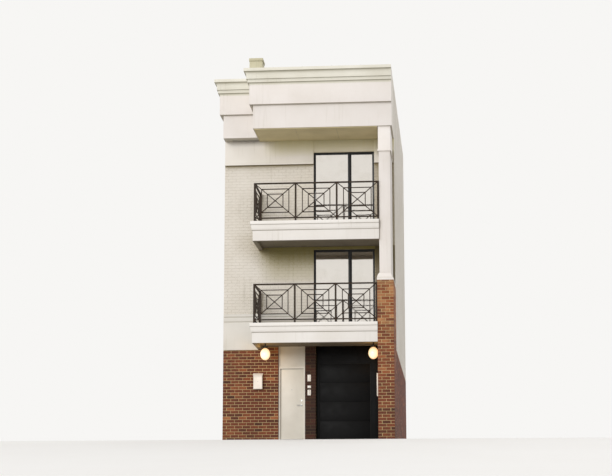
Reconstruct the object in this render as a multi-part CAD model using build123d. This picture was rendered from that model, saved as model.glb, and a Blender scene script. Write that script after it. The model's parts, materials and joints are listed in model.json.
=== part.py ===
from build123d import *
from math import cos, pi, sin
import os

# A three-storey townhouse, one unit of a terrace. Millimetres, +Z up, the street side at -Y.
# The origin is on the ground, at the middle of the plan between the façade and the rear wall.

# Plan of the body
body_width = 4970
body_depth = 9000
front_wall_thickness = 250
rear_wall_thickness = 250
party_wall_thickness = 230
slab_thickness = 100

# Heights above the ground
first_deck = 3260
storey_height = 2900
top_storey_height = 2710
floor_thickness = 300
roof_thickness = 300
parapet_height = 1730

# Blade pier on the right party line, from the façade out to the front plane
balcony_depth = 1500
pier_width = 448
pier_height = 4432
pier_cap_height = 222
pier_cap_lip = 12
pier_cap_lip_height = 45
shaft_width = 325
head_width = 353
head_drip = 40
head_drip_height = 45

# Ground storey openings, from the left end of the façade to the right
entry_left = 1593
entry_width = 770
entry_pier_width = 300
garage_jamb_width = 108
garage_side_width = 293
garage_head = 2296
garage_setback = 150
garage_frame_depth = 90
garage_leaf_setback = 30
garage_leaf_thickness = 44
garage_panels = 4
garage_groove = 10

# Entry door, hinged on its left and opening inward
frame_setback = 50
frame_depth = 110
frame_face = 35
stop_width = 15
door_head = 2200
threshold_height = 20
leaf_thickness = 44
leaf_gap = 5
latch_gap = 8
hinge_count = 3
hinge_radius = 8
hinge_pin_radius = 4
hinge_pin_play = 0.3
hinge_knuckle = 50
hinge_plate = 3
hinge_plate_width = 32
hinge_end = 200
handle_height = 1000
handle_inset = 65
rose_radius = 26
rose_thickness = 8
lever_radius = 9
lever_stand = 45
lever_length = 125

# Sliding doors of the two upper storeys
sliding_pier_gap = 133
sliding_width = 1775
sliding_height = 2336
sliding_setback = 60
sliding_depth = 100
sliding_face = 28
sash_thickness = 40
sash_face = 28
sash_bottom = 55
meeting_left = 1006
meeting_width = 90
meeting_stile = 60
glass_thickness = 12

# Rear windows, one to a storey
window_width = 1775
window_height = 1300
window_depth = 80
window_face = 50
sill_reach = 40
sill_ear = 60
sill_nose = 45
sill_lift = 15
sill_slope = 20

# Balconies
balcony_inset = 1010
balcony_height = 560
balcony_rim = 120
soffit_recess = 100
band_height = 290
ledge_height = 100
ledge_reach = 65
ledge_bed_reach = 45

# Balcony railings
railing_height = 1117
railing_bays = 3
railing_inset = 50
post_size = 50
post_plate = 90
post_plate_thickness = 8
top_rail_height = 38
top_rail_width = 54
bottom_rail = 34
bottom_rail_height = 80
lattice_bar = 24
lattice_insets = (0.30, 0.60)

# Bands of the façade
wall_band_drop = 15
wall_band_rise = 470
wall_band_grooves = (90, 230)
wall_band_reach = 50
wall_band_groove = 18
frieze_height = 730
frieze_reach = 40
frieze_drip = 40
frieze_drip_height = 50

# Entablature and cornice round the roof
bay_inset = 1000
recess_reach = 450
return_length = 1100
parapet_thickness = 230
upper_band_height = 570
upper_band_reach = 100
cornice_bed_height = 70
cornice_bed_reach = 50
cornice_face_height = 95
cornice_fillet_height = 93
cornice_fillet_reach = 30
cornice_cove_height = 124
cornice_cove_reach = 70
coping_height = 90
coping_lip = 30
curve_steps = 6
mitre_spare = 600

# Chimney, behind the parapet
chimney_left = 510
chimney_width = 400
chimney_depth = 500
chimney_setback = 1500
chimney_rise = 1300
chimney_cap_height = 90
chimney_cap_lip = 15
flue_size = 180

# Lamps under the lower balcony, letterbox and wall plates
lamp_balcony_inset = 290
lamp_pier_gap = 162
lamp_width = 280
lamp_height = 340
lamp_top = 2645
lamp_cup_radius = 70
lamp_arc = 155
lamp_cup_height = 50
lamp_rod_radius = 18
lamp_rose_radius = 60
lamp_rose_height = 12
letterbox_entry_gap = 449
letterbox_width = 256
letterbox_bottom = 1554
letterbox_back_height = 454
letterbox_front_height = 400
letterbox_depth = 120
letterbox_lid = 14
letterbox_slot_width = 190
letterbox_slot_height = 26
plate_inset = 72
plate_width = 97
plate_thickness = 15
plate_spans = ((1770, 1960), (1580, 1650), (1370, 1530))
board_width = 115
board_span = (1343, 2008)
board_thickness = 20

# Places worked out from the sizes above
left = -body_width / 2
right = body_width / 2
facade = -body_depth / 2
facade_back = facade + front_wall_thickness
rear = body_depth / 2
rear_inner = rear - rear_wall_thickness
left_inner = left + party_wall_thickness
right_inner = right - party_wall_thickness
front_plane = facade - balcony_depth
pier_left = right - pier_width
pier_middle = right - pier_width / 2
shaft_left = pier_middle - shaft_width / 2
shaft_setback = (pier_width - shaft_width) / 2
ground_soffit = first_deck - balcony_height
ground_head = ground_soffit + soffit_recess
second_deck = first_deck + storey_height
roof_soffit = second_deck + top_storey_height
parapet_top = roof_soffit + parapet_height
chimney_top = parapet_top + chimney_rise
frieze_bottom = roof_soffit - frieze_height
decks = (first_deck, second_deck)
entry_x = (left + entry_left, left + entry_left + entry_width)
garage_x = (entry_x[1] + entry_pier_width, pier_left)
sliding_x = (pier_left - sliding_pier_gap - sliding_width, pier_left - sliding_pier_gap)
bay_left = left + bay_inset
balcony_left = left + balcony_inset
recess_front = facade - recess_reach

os.makedirs("parts", exist_ok=True)


def block(x, y, z):
    """A block between a low and a high value on each axis."""
    size = (x[1] - x[0], y[1] - y[0], z[1] - z[0])
    middle = ((x[0] + x[1]) / 2, (y[0] + y[1]) / 2, (z[0] + z[1]) / 2)
    return Pos(*middle) * Box(*size)


def save(name, *solids):
    """Writes one sub-part. Solids that don't touch share its file."""
    shape = solids[0] if len(solids) == 1 else Compound(children=list(solids))
    export_step(shape, f"parts/{name}.step")


def mitred_moulding(section_edges, path_points):
    """Runs a section round a plan and cuts a mitre at each corner. The section is drawn
    with x pointing inward from the path and y up, and outward is right of the way along it."""
    section = make_face(section_edges)
    points = [Vector(x, y, 0) for x, y in path_points]
    ways = [(b - a).normalized() for a, b in zip(points, points[1:])]
    last = len(ways) - 1
    moulding = Part()
    for i, way in enumerate(ways):
        spare_start = mitre_spare if i > 0 else 0
        spare_end = mitre_spare if i < last else 0
        inward = Vector(-way.Y, way.X, 0)
        start = Plane(origin=points[i] - way * spare_start, x_dir=inward, z_dir=way)
        length = (points[i + 1] - points[i]).length + spare_start + spare_end
        run = extrude(start * section, amount=length)
        if i > 0:
            mitre = Plane(origin=points[i], z_dir=ways[i - 1] + way)
            run = split(run, bisect_by=mitre, keep=Keep.TOP)
        if i < last:
            mitre = Plane(origin=points[i + 1], z_dir=way + ways[i + 1])
            run = split(run, bisect_by=mitre, keep=Keep.BOTTOM)
        moulding += run
    return moulding


# Ground slab, with a tongue through the façade at the entry and at the garage
def ground_slab():
    slab = block((left_inner, right_inner), (facade_back, rear_inner), (0, slab_thickness))
    for opening in (entry_x, garage_x):
        slab += block(opening, (facade, facade_back), (0, slab_thickness))
    return slab


# Walls
def front_wall_ground():
    """Brickwork left of the entry, between entry and garage, and behind the pier. Both openings
    reach the ceiling of the lower balcony."""
    y = (facade, facade_back)
    z = (0, ground_head)
    stretches = ((left, entry_x[0]), (entry_x[1], garage_x[0]), (pier_left, right_inner))
    return [block(x, y, z) for x in stretches]


def front_wall_upper(deck):
    """The façade of one upper storey, left and right of its sliding door."""
    y = (facade, facade_back)
    z = (deck, deck + sliding_height)
    return [block((left, sliding_x[0]), y, z), block((sliding_x[1], right_inner), y, z)]


def front_beams():
    """Beams over the ground storey and over each sliding door."""
    y = (facade, facade_back)
    beams = (
        (ground_head, first_deck),
        (first_deck + sliding_height, second_deck),
        (second_deck + sliding_height, roof_soffit),
    )
    return [block((left, right_inner), y, z) for z in beams]


def party_wall_left():
    return block((left, left_inner), (facade_back, rear_inner), (0, roof_soffit))


def party_wall_right():
    return block((right_inner, right), (facade, rear_inner), (0, roof_soffit))


def window_heads():
    """Heads of the rear windows, in line with the doors of the same storey."""
    return (door_head, first_deck + sliding_height, second_deck + sliding_height)


def window_hole(head, y):
    x = (-window_width / 2, window_width / 2)
    return block(x, y, (head - window_height, head))


def rear_wall_ground():
    y = (rear_inner, rear)
    return block((left, right), y, (0, ground_soffit)) - window_hole(window_heads()[0], y)


def rear_wall_upper():
    y = (rear_inner, rear)
    wall = block((left, right), y, (ground_soffit, roof_soffit))
    for head in window_heads()[1:]:
        wall -= window_hole(head, y)
    return wall


def storey_floor(deck):
    return block((left_inner, right_inner), (facade_back, rear_inner), (deck - floor_thickness, deck))


def roof_slab():
    """Flat roof behind the parapets. It runs out over the upper balcony as its ceiling."""
    corners = [
        (left_inner, rear_inner),
        (left_inner, recess_front + parapet_thickness),
        (bay_left + parapet_thickness, recess_front + parapet_thickness),
        (bay_left + parapet_thickness, front_plane + parapet_thickness),
        (right_inner, front_plane + parapet_thickness),
        (right_inner, rear_inner),
    ]
    plan = make_face(Polyline(*corners, close=True))
    return Pos(0, 0, roof_soffit) * extrude(plan, amount=roof_thickness)


# Blade pier: brick below, rendered shaft above a flared cap
def pier_brick():
    return block((pier_left, right), (front_plane, facade), (0, pier_height))


def pier_cap():
    """The cap flares on both sides and at the front. Two crossed sections give it mitres."""
    low, high = pier_height, pier_height + pier_cap_height
    lip_top = low + pier_cap_lip_height
    edge = pier_width / 2 + pier_cap_lip
    neck = shaft_width / 2
    bulge = 0.35
    across = [
        Polyline((-neck, high), (neck, high)),
        cove((neck, high), (edge, lip_top), bulge),
        Polyline((edge, lip_top), (edge, low), (-edge, low), (-edge, lip_top)),
        cove((-edge, lip_top), (-neck, high), bulge),
    ]
    sides = extrude(Plane.XZ * make_face(across), amount=-2 * balcony_depth, both=True)
    front = front_plane - pier_cap_lip
    neck_front = front_plane + shaft_setback
    along = [
        Polyline((facade, high), (neck_front, high)),
        cove((neck_front, high), (front, lip_top), bulge),
        Polyline((front, lip_top), (front, low), (facade, low), (facade, high)),
    ]
    depth = extrude(Plane.YZ * make_face(along), amount=pier_width, both=True)
    return (Pos(pier_middle, front_plane, 0) * sides) & (Pos(pier_middle, 0, 0) * depth)


def cove(top, bottom, bulge):
    """A hollow curve between two points, bent towards the level of the lower one."""
    middle_x = top[0] + (bottom[0] - top[0]) * bulge
    middle_z = top[1] + (bottom[1] - top[1]) * (1 - bulge)
    return ThreePointArc(top, (middle_x, middle_z), bottom)


def pier_shaft():
    """Rendered shaft with a wider head block under the roof, and a drip round the block."""
    foot = pier_height + pier_cap_height
    y = (front_plane + shaft_setback, facade)
    shaft = block((shaft_left, shaft_left + shaft_width), y, (foot, roof_soffit))
    for width, high in ((head_width, roof_soffit), (head_width + head_drip, frieze_bottom + head_drip_height)):
        reach = (width - shaft_width) / 2
        x = (shaft_left - reach, shaft_left + shaft_width + reach)
        shaft += block(x, (y[0] - reach, facade), (frieze_bottom, high))
    return shaft


# Balconies
def balcony_right(deck):
    """The slab ends against the brick pier below and against the shaft above."""
    return pier_left if deck - balcony_height < pier_height else shaft_left


def balcony(deck):
    """Slab with a moulded edge: band, swelling bed and ledge, and a downstand rim below."""
    low = deck - balcony_height
    ledge_low = deck - ledge_height
    section = Polyline(
        (0, low),
        *swelling((0, low + band_height), (-ledge_bed_reach, ledge_low)),
        (-ledge_reach, ledge_low),
        (-ledge_reach, deck),
        (balcony_rim, deck),
        (balcony_rim, low),
        close=True,
    )
    end = balcony_right(deck)
    path = [(balcony_left, facade), (balcony_left, front_plane), (end, front_plane)]
    edge = mitred_moulding(section, path)
    x = (balcony_left + balcony_rim, end)
    y = (front_plane + balcony_rim, facade)
    return edge + block(x, y, (low + soffit_recess, deck))


def lattice_panel(length, height):
    """Thin bars of one railing bay: nested frames crossed by two diagonals."""
    diagonal = (length**2 + height**2) ** 0.5
    tilt = Vector(1, 0, 0).get_angle(Vector(length, height, 0))
    bars = Sketch()
    for angle in (tilt, -tilt):
        bars += Rot(0, 0, angle) * Rectangle(diagonal, lattice_bar)
    for share in lattice_insets:
        frame_length = length * (1 - share)
        frame_height = height * (1 - share)
        outer = Rectangle(frame_length + lattice_bar, frame_height + lattice_bar)
        bars += outer - Rectangle(frame_length - lattice_bar, frame_height - lattice_bar)
    bars &= Rectangle(length, height)
    return extrude(Plane.XZ * bars, amount=lattice_bar / 2, both=True)


def railing(length, bays, end_post):
    """A railing along +X from a post centred on the origin, standing on z = 0. With an end post
    it runs from a free corner up to a wall, and without one from a wall up to that corner. The
    base plates are cut off at the wall."""
    half = post_size / 2
    plate = (-post_plate / 2, post_plate / 2)
    posts = [length * i / bays for i in range(bays + (1 if end_post else 0))]
    under_rail = railing_height - top_rail_height
    end = length + (half if end_post else -top_rail_width / 2)
    shape = block((-half, end), (-top_rail_width / 2, top_rail_width / 2), (under_rail, railing_height))
    for x in posts:
        shape += block((x - half, x + half), (-half, half), (0, under_rail))
        shape += block((x + plate[0], x + plate[1]), plate, (0, post_plate_thickness))
    reach = (plate[0] if end_post else -half, length + half)
    shape &= block(reach, plate, (0, railing_height))
    panel_low = bottom_rail_height + bottom_rail
    panel_length = length / bays - post_size
    panel = lattice_panel(panel_length, under_rail - panel_low)
    rail = block(
        (-panel_length / 2, panel_length / 2),
        (-bottom_rail / 2, bottom_rail / 2),
        (bottom_rail_height, panel_low),
    )
    for i in range(bays):
        middle = length * (i + 0.5) / bays
        shape += Pos(middle, 0, 0) * rail
        shape += Pos(middle, 0, (panel_low + under_rail) / 2) * panel
    return shape


def railing_front(deck):
    start = balcony_left + railing_inset
    length = balcony_right(deck) - post_size / 2 - start
    return Pos(start, front_plane + railing_inset, deck) * railing(length, railing_bays, True)


def railing_side(deck):
    """One bay from a post at the façade to the corner post of the front railing."""
    wall_face = facade - (wall_band_reach if deck == first_deck else 0)
    start = wall_face - post_size / 2
    length = start - (front_plane + railing_inset)
    place = Pos(balcony_left + railing_inset, start, deck) * Rot(0, 0, -90)
    return place * railing(length, 1, False)


# Sliding doors
def ring(x, y, z, face, bottom=None):
    """A rectangular frame of one face width, with its own width at the bottom."""
    low = face if bottom is None else bottom
    hole = block((x[0] + face, x[1] - face), y, (z[0] + low, z[1] - face))
    return block(x, y, z) - hole


def sliding_places(deck):
    """Clear opening of the outer frame, and the spans of its two sashes."""
    inner_x = (sliding_x[0] + sliding_face, sliding_x[1] - sliding_face)
    inner_z = (deck + sliding_face, deck + sliding_height - sliding_face)
    meeting = sliding_x[0] + meeting_left
    middle = facade + sliding_setback + sliding_depth / 2
    left_sash = ((inner_x[0], meeting + meeting_stile), (middle - sash_thickness, middle))
    right_sash = (
        (meeting + meeting_width - meeting_stile, inner_x[1]),
        (middle, middle + sash_thickness),
    )
    return inner_z, left_sash, right_sash


def sash_light(x, z, meeting_on_right):
    """The glazed opening of one sash, between its stiles and rails."""
    low_x = x[0] + (sash_face if meeting_on_right else meeting_stile)
    high_x = x[1] - (meeting_stile if meeting_on_right else sash_face)
    return (low_x, high_x), (z[0] + sash_bottom, z[1] - sash_face)


def sliding_door_frame(deck):
    y = (facade + sliding_setback, facade + sliding_setback + sliding_depth)
    frame = ring(sliding_x, y, (deck, deck + sliding_height), sliding_face)
    inner_z, left_sash, right_sash = sliding_places(deck)
    for (x, sash_y), on_right in ((left_sash, True), (right_sash, False)):
        light_x, light_z = sash_light(x, inner_z, on_right)
        frame += block(x, sash_y, inner_z) - block(light_x, sash_y, light_z)
    return frame


def sliding_door_glass(deck):
    inner_z, left_sash, right_sash = sliding_places(deck)
    panes = []
    for (x, sash_y), on_right in ((left_sash, True), (right_sash, False)):
        light_x, light_z = sash_light(x, inner_z, on_right)
        middle = (sash_y[0] + sash_y[1]) / 2
        y = (middle - glass_thickness / 2, middle + glass_thickness / 2)
        panes.append(block(light_x, y, light_z))
    return panes


# Rear windows, set in the middle of the rear wall
def window_spans(head):
    half = window_width / 2
    middle = (rear_inner + rear) / 2
    y = (middle - window_depth / 2, middle + window_depth / 2)
    return (-half, half), y, (head - window_height, head)


def rear_window_frames():
    frames = []
    for head in window_heads():
        x, y, z = window_spans(head)
        frame = ring(x, y, z, window_face)
        frame += block((-window_face / 2, window_face / 2), y, z)
        frames.append(frame)
    return frames


def rear_window_glass():
    panes = []
    for head in window_heads():
        x, y, z = window_spans(head)
        middle = (y[0] + y[1]) / 2
        pane_y = (middle - glass_thickness / 2, middle + glass_thickness / 2)
        pane_z = (z[0] + window_face, z[1] - window_face)
        for pane_x in ((x[0] + window_face, -window_face / 2), (window_face / 2, x[1] - window_face)):
            panes.append(block(pane_x, pane_y, pane_z))
    return panes


def rear_window_sills():
    """Sloping sills in the reveals, with a nose that overhangs the wall and has an ear each side."""
    sills = []
    for head in window_heads():
        x, y, z = window_spans(head)
        back, front, foot = y[1], rear + sill_reach, z[0]
        top_at_wall = foot + sill_lift + sill_slope * sill_reach / (front - back)
        reveal = Polyline(
            (back, foot),
            (back, foot + sill_lift + sill_slope),
            (rear, top_at_wall),
            (rear, foot),
            close=True,
        )
        nose = Polyline(
            (rear, foot + sill_lift - sill_nose),
            (rear, top_at_wall),
            (front, foot + sill_lift),
            (front, foot + sill_lift - sill_nose),
            close=True,
        )
        sill = extrude(Plane.YZ * make_face(reveal), amount=window_width / 2, both=True)
        sill += extrude(Plane.YZ * make_face(nose), amount=window_width / 2 + sill_ear, both=True)
        sills.append(sill)
    return sills


# Entry door
frame_y = (facade + frame_setback, facade + frame_setback + frame_depth)
leaf_y = (frame_y[1] - leaf_thickness, frame_y[1])
clear_x = (entry_x[0] + frame_face, entry_x[1] - frame_face)
leaf_x = (clear_x[0] + leaf_gap, clear_x[1] - latch_gap)
leaf_z = (slab_thickness + threshold_height + leaf_gap, door_head - frame_face - leaf_gap)
hinge_axis = (clear_x[0] + leaf_gap / 2, leaf_y[1] + hinge_radius + 1)
hinge_spread = leaf_z[1] - leaf_z[0] - 2 * hinge_end
hinge_heights = [leaf_z[0] + hinge_end + hinge_spread * i / (hinge_count - 1) for i in range(hinge_count)]


def entry_door_frame():
    """Jambs to the full height, a transom over the leaf, a stop in front of it and a threshold."""
    frame = ring(entry_x, frame_y, (slab_thickness, ground_head), frame_face, threshold_height)
    frame += block(clear_x, frame_y, (door_head - frame_face, door_head))
    stop_y = (frame_y[0], leaf_y[0] - leaf_gap)
    stop_z = (slab_thickness + threshold_height, door_head - frame_face)
    frame += ring(clear_x, stop_y, stop_z, stop_width, 0)
    return frame


def over_door_panel():
    middle = (frame_y[0] + frame_y[1]) / 2
    y = (middle - leaf_thickness / 2, middle + leaf_thickness / 2)
    return block(clear_x, y, (door_head, ground_head - frame_face))


def entry_door():
    return block(leaf_x, leaf_y, leaf_z)


def hinge_place(height):
    return Pos(hinge_axis[0], hinge_axis[1], height)


def hinge_plate_block(direction, low, high):
    """The flat wing of a hinge, against the frame or the leaf."""
    gap = leaf_gap / 2
    near, far = (gap, hinge_plate_width) if direction > 0 else (-hinge_plate_width, -gap)
    back = -hinge_radius - 1
    wing = block((near, far), (back, back + hinge_plate), (low, high))
    inner = (0, gap + hinge_plate) if direction > 0 else (-gap - hinge_plate, 0)
    return wing + block(inner, (back + 1, back + hinge_plate), (low, high))


def door_hinge_pins():
    """Lower knuckles with their pins, on the frame."""
    pins = []
    for height in hinge_heights:
        knuckle = Pos(0, 0, -hinge_knuckle / 2) * Cylinder(hinge_radius, hinge_knuckle)
        pin = Pos(0, 0, hinge_knuckle / 4) * Cylinder(hinge_pin_radius, hinge_knuckle / 2)
        wing = hinge_plate_block(-1, -hinge_knuckle, 0)
        pins.append(hinge_place(height) * (knuckle + pin + wing))
    return pins


def door_hinge_leaves():
    """Upper knuckles, bored for the pins, on the door leaf."""
    leaves = []
    low, high = hinge_pin_play, hinge_knuckle
    for height in hinge_heights:
        knuckle = Pos(0, 0, (low + high) / 2) * Cylinder(hinge_radius, high - low)
        knuckle += hinge_plate_block(1, low, high)
        depth = hinge_knuckle / 2 + 2 * hinge_pin_play
        bore = Pos(0, 0, depth / 2) * Cylinder(hinge_pin_radius + hinge_pin_play, depth)
        leaves.append(hinge_place(height) * (knuckle - bore))
    return leaves


def entry_door_handle():
    """A round rose and a bent lever on each face of the leaf."""
    x = leaf_x[1] - handle_inset
    z = slab_thickness + handle_height
    handles = []
    for face, out in ((leaf_y[0], -1), (leaf_y[1], 1)):
        turn = Rot(90, 0, 0)
        rose = Pos(0, out * rose_thickness / 2, 0) * turn * Cylinder(rose_radius, rose_thickness)
        neck = Pos(0, out * lever_stand / 2, 0) * turn * Cylinder(lever_radius, lever_stand)
        grip = Pos(-lever_length / 2, out * lever_stand, 0) * Rot(0, 90, 0)
        lever = grip * Cylinder(lever_radius, lever_length)
        elbow = Pos(0, out * lever_stand, 0) * Sphere(lever_radius)
        tip = Pos(-lever_length, out * lever_stand, 0) * Sphere(lever_radius)
        handles.append(Pos(x, face, z) * (rose + neck + lever + elbow + tip))
    return handles


# Garage front: side panels and head panel round a sectional leaf
garage_y = (facade + garage_setback, facade + garage_setback + garage_frame_depth)
garage_leaf_x = (garage_x[0] + garage_jamb_width, garage_x[1] - garage_side_width)


def garage_surround():
    hole = block(garage_leaf_x, garage_y, (slab_thickness, garage_head))
    return block(garage_x, garage_y, (slab_thickness, ground_head)) - hole


def garage_door():
    """Sections with a groove between each pair, drawn from the side and run across."""
    front = garage_y[0] + garage_leaf_setback
    back = front + garage_leaf_thickness
    low, high = slab_thickness, garage_head
    leaf = block(garage_leaf_x, (front, back), (low, high))
    for i in range(1, garage_panels):
        z = low + (high - low) * i / garage_panels
        leaf -= block(
            garage_leaf_x,
            (front, front + garage_groove),
            (z - garage_groove / 2, z + garage_groove / 2),
        )
    return leaf


# Bands on the façade
def wall_band():
    """Rendered band at the first deck, with two grooves near its top. Below the deck it ends
    at the balcony."""
    y = (facade - wall_band_reach, facade)
    top = first_deck + wall_band_rise
    foot = ground_soffit - wall_band_drop
    band = block((left, sliding_x[0]), y, (foot, top))
    band -= block((balcony_left, sliding_x[0]), y, (foot, ground_head))
    for drop in wall_band_grooves:
        z = top - drop
        groove_y = (y[0], y[0] + wall_band_groove)
        groove_z = (z - wall_band_groove / 2, z + wall_band_groove / 2)
        band -= block((left, sliding_x[0]), groove_y, groove_z)
    return band - balcony(first_deck)


def frieze():
    """Smooth band under the roof, each side of the upper door, with a drip at its foot."""
    pieces = []
    shaft = pier_shaft()
    for x in ((left, sliding_x[0]), (sliding_x[1], shaft_left)):
        piece = block(x, (facade - frieze_reach, facade), (frieze_bottom, roof_soffit))
        drip_y = (facade - frieze_reach - frieze_drip, facade)
        piece += block(x, drip_y, (frieze_bottom, frieze_bottom + frieze_drip_height))
        pieces.append(piece - shaft)
    return pieces


# Entablature and cornice, mitred round the recess and the bay
coping_low = parapet_top - coping_height
cove_low = coping_low - cornice_cove_height
fillet_low = cove_low - cornice_fillet_height
bed_low = fillet_low - cornice_face_height - cornice_bed_height
upper_band_bottom = bed_low - upper_band_height
entablature_path = [
    (left, recess_front + return_length),
    (left, recess_front),
    (bay_left, recess_front),
    (bay_left, front_plane),
    (right, front_plane),
]


def front_parapet():
    """Parapet wall with two flat bands on its face."""
    section = Polyline(
        (0, roof_soffit),
        (0, upper_band_bottom),
        (-upper_band_reach, upper_band_bottom),
        (-upper_band_reach, coping_low),
        (parapet_thickness, coping_low),
        (parapet_thickness, roof_soffit),
        close=True,
    )
    return mitred_moulding(section, entablature_path)


def cornice():
    """Bed mould, fillet, cove and coping, on the upper band."""
    face = upper_band_reach + cornice_bed_reach
    fillet = face + cornice_fillet_reach
    edge = fillet + cornice_cove_reach
    inner = parapet_thickness + coping_lip
    section = Polyline(
        *hollow((-upper_band_reach, bed_low), (-face, bed_low + cornice_bed_height)),
        (-face, fillet_low),
        (-fillet, fillet_low),
        *hollow((-fillet, cove_low), (-edge, coping_low)),
        (-edge, parapet_top),
        (inner, parapet_top),
        (inner, coping_low),
        (-upper_band_reach, coping_low),
        close=True,
    )
    return mitred_moulding(section, entablature_path)


def hollow(foot, edge):
    """Points of a hollow quarter curve, upright at its foot and level at its upper edge."""
    points = []
    for i in range(curve_steps + 1):
        angle = pi / 2 * i / curve_steps
        x = foot[0] + (edge[0] - foot[0]) * (1 - cos(angle))
        z = foot[1] + (edge[1] - foot[1]) * sin(angle)
        points.append((x, z))
    return points


def swelling(foot, edge):
    """Points of a bulging quarter curve, level at its foot and upright at its upper edge."""
    points = []
    for i in range(curve_steps + 1):
        angle = pi / 2 * i / curve_steps
        x = foot[0] + (edge[0] - foot[0]) * sin(angle)
        z = foot[1] + (edge[1] - foot[1]) * (1 - cos(angle))
        points.append((x, z))
    return points


def side_parapets():
    """Plain parapets on the two party lines, up to the front parapet."""
    z = (roof_soffit, coping_low)
    left_side = block((left, left_inner), (recess_front + return_length, rear_inner), z)
    right_side = block((right_inner, right), (front_plane + parapet_thickness, rear_inner), z)
    return [left_side, right_side]


def rear_parapet():
    return block((left, right), (rear_inner, rear), (roof_soffit, coping_low))


def parapet_coping():
    """Coping round the sides and the rear, in line with the top of the cornice. It overhangs the
    rear wall and the roof, and is flush on the party lines."""
    left_edge = left_inner + coping_lip
    right_edge = right_inner - coping_lip
    rear_edge = rear_inner - coping_lip
    left_start = recess_front + return_length
    right_start = front_plane + parapet_thickness + coping_lip
    plan = Polyline(
        (left, left_start),
        (left, rear + coping_lip),
        (right, rear + coping_lip),
        (right, right_start),
        (right_edge, right_start),
        (right_edge, rear_edge),
        (left_edge, rear_edge),
        (left_edge, left_start),
        close=True,
    )
    return Pos(0, 0, coping_low) * extrude(make_face(plan), amount=coping_height)


# Chimney
chimney_x = (left + chimney_left, left + chimney_left + chimney_width)
chimney_y = (facade + chimney_setback, facade + chimney_setback + chimney_depth)


def flue(z):
    middle_x, middle_y = sum(chimney_x) / 2, sum(chimney_y) / 2
    half = flue_size / 2
    return block((middle_x - half, middle_x + half), (middle_y - half, middle_y + half), z)


def chimney_stack():
    z = (roof_soffit + roof_thickness, chimney_top - chimney_cap_height)
    return block(chimney_x, chimney_y, z) - flue(z)


def chimney_cap():
    """A slab with a lip all round and the mouth of the flue in its middle."""
    lip = chimney_cap_lip
    x = (chimney_x[0] - lip, chimney_x[1] + lip)
    y = (chimney_y[0] - lip, chimney_y[1] + lip)
    z = (chimney_top - chimney_cap_height, chimney_top)
    return block(x, y, z) - flue(z)


# Lamps hung from the ceiling of the lower balcony
lamp_y = (front_plane + facade) / 2
lamp_x = (balcony_left + lamp_balcony_inset, pier_left - lamp_pier_gap)
lamp_places = [Pos(x, lamp_y, 0) for x in lamp_x]


def lamp_fittings():
    """A cup over the globe, and a short stem up to a rose on the ceiling."""
    cup = Pos(0, 0, lamp_top + lamp_cup_height / 2) * Cylinder(lamp_cup_radius, lamp_cup_height)
    stem_low = lamp_top + lamp_cup_height
    stem = Pos(0, 0, (stem_low + ground_head) / 2) * Cylinder(lamp_rod_radius, ground_head - stem_low)
    rose = Pos(0, 0, ground_head - lamp_rose_height / 2) * Cylinder(lamp_rose_radius, lamp_rose_height)
    return [place * (cup + stem + rose) for place in lamp_places]


def lamp_globes():
    """Upright egg-shaped globes with a short neck into the cup."""
    reach_x, reach_z = lamp_width / 2, lamp_height / 2
    body = EllipticalCenterArc((0, 0), reach_x, reach_z, start_angle=-90, arc_size=lamp_arc)
    neck = body @ 1
    closing = Polyline((neck.X, neck.Y), (neck.X, reach_z), (0, reach_z), (0, -reach_z))
    globe = revolve(Plane.XZ * make_face([body, closing]), axis=Axis.Z)
    return [place * (Pos(0, 0, lamp_top - reach_z) * globe) for place in lamp_places]


# Letterbox, wall plates and board
def letterbox():
    """A box with a sloping lid and a slot, on the brickwork beside the entry."""
    x0 = entry_x[0] - letterbox_entry_gap - letterbox_width
    low = letterbox_bottom
    front = facade - letterbox_depth
    side = Polyline(
        (facade, low),
        (front, low),
        (front, low + letterbox_front_height),
        (facade, low + letterbox_back_height),
        close=True,
    )
    body = extrude(Plane.YZ * make_face(side), amount=letterbox_width)
    lid_side = Polyline(
        (facade, low + letterbox_back_height),
        (front - letterbox_lid, low + letterbox_front_height - letterbox_lid / 2),
        (front - letterbox_lid, low + letterbox_front_height + letterbox_lid / 2),
        (facade, low + letterbox_back_height + letterbox_lid),
        close=True,
    )
    lid = extrude(Plane.YZ * make_face(lid_side), amount=letterbox_width + 2 * letterbox_lid)
    middle = letterbox_width / 2
    slot = block(
        (middle - letterbox_slot_width / 2, middle + letterbox_slot_width / 2),
        (front, front + letterbox_lid),
        (low + letterbox_front_height - 3 * letterbox_slot_height, low + letterbox_front_height - 2 * letterbox_slot_height),
    )
    return Pos(x0, 0, 0) * (body + Pos(-letterbox_lid, 0, 0) * lid - slot)


def wall_plates():
    """Blank number plate, bell plate and intercom between entry and garage."""
    x = (entry_x[1] + plate_inset, entry_x[1] + plate_inset + plate_width)
    return [block(x, (facade - plate_thickness, facade), span) for span in plate_spans]


def garage_board():
    """A blank upright board at the right of the garage leaf."""
    x = (pier_left - board_width, pier_left)
    return block(x, (garage_y[0] - board_thickness, garage_y[0]), board_span)


save("ground_slab", ground_slab())
save("front_wall_ground", *front_wall_ground())
save("front_wall_first", *front_wall_upper(first_deck))
save("front_wall_second", *front_wall_upper(second_deck))
save("front_beams", *front_beams())
save("party_wall_left", party_wall_left())
save("party_wall_right", party_wall_right())
save("rear_wall_ground", rear_wall_ground())
save("rear_wall_upper", rear_wall_upper())
save("first_floor", storey_floor(first_deck))
save("second_floor", storey_floor(second_deck))
save("roof_slab", roof_slab())
save("pier_brick", pier_brick())
save("pier_cap", pier_cap())
save("pier_shaft", pier_shaft())
for storey, deck in zip(("first", "second"), decks):
    save(f"balcony_{storey}", balcony(deck))
    save(f"railing_{storey}_front", railing_front(deck))
    save(f"railing_{storey}_side", railing_side(deck))
    save(f"sliding_door_frame_{storey}", sliding_door_frame(deck))
    save(f"sliding_door_glass_{storey}", *sliding_door_glass(deck))
save("rear_window_frames", *rear_window_frames())
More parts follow.
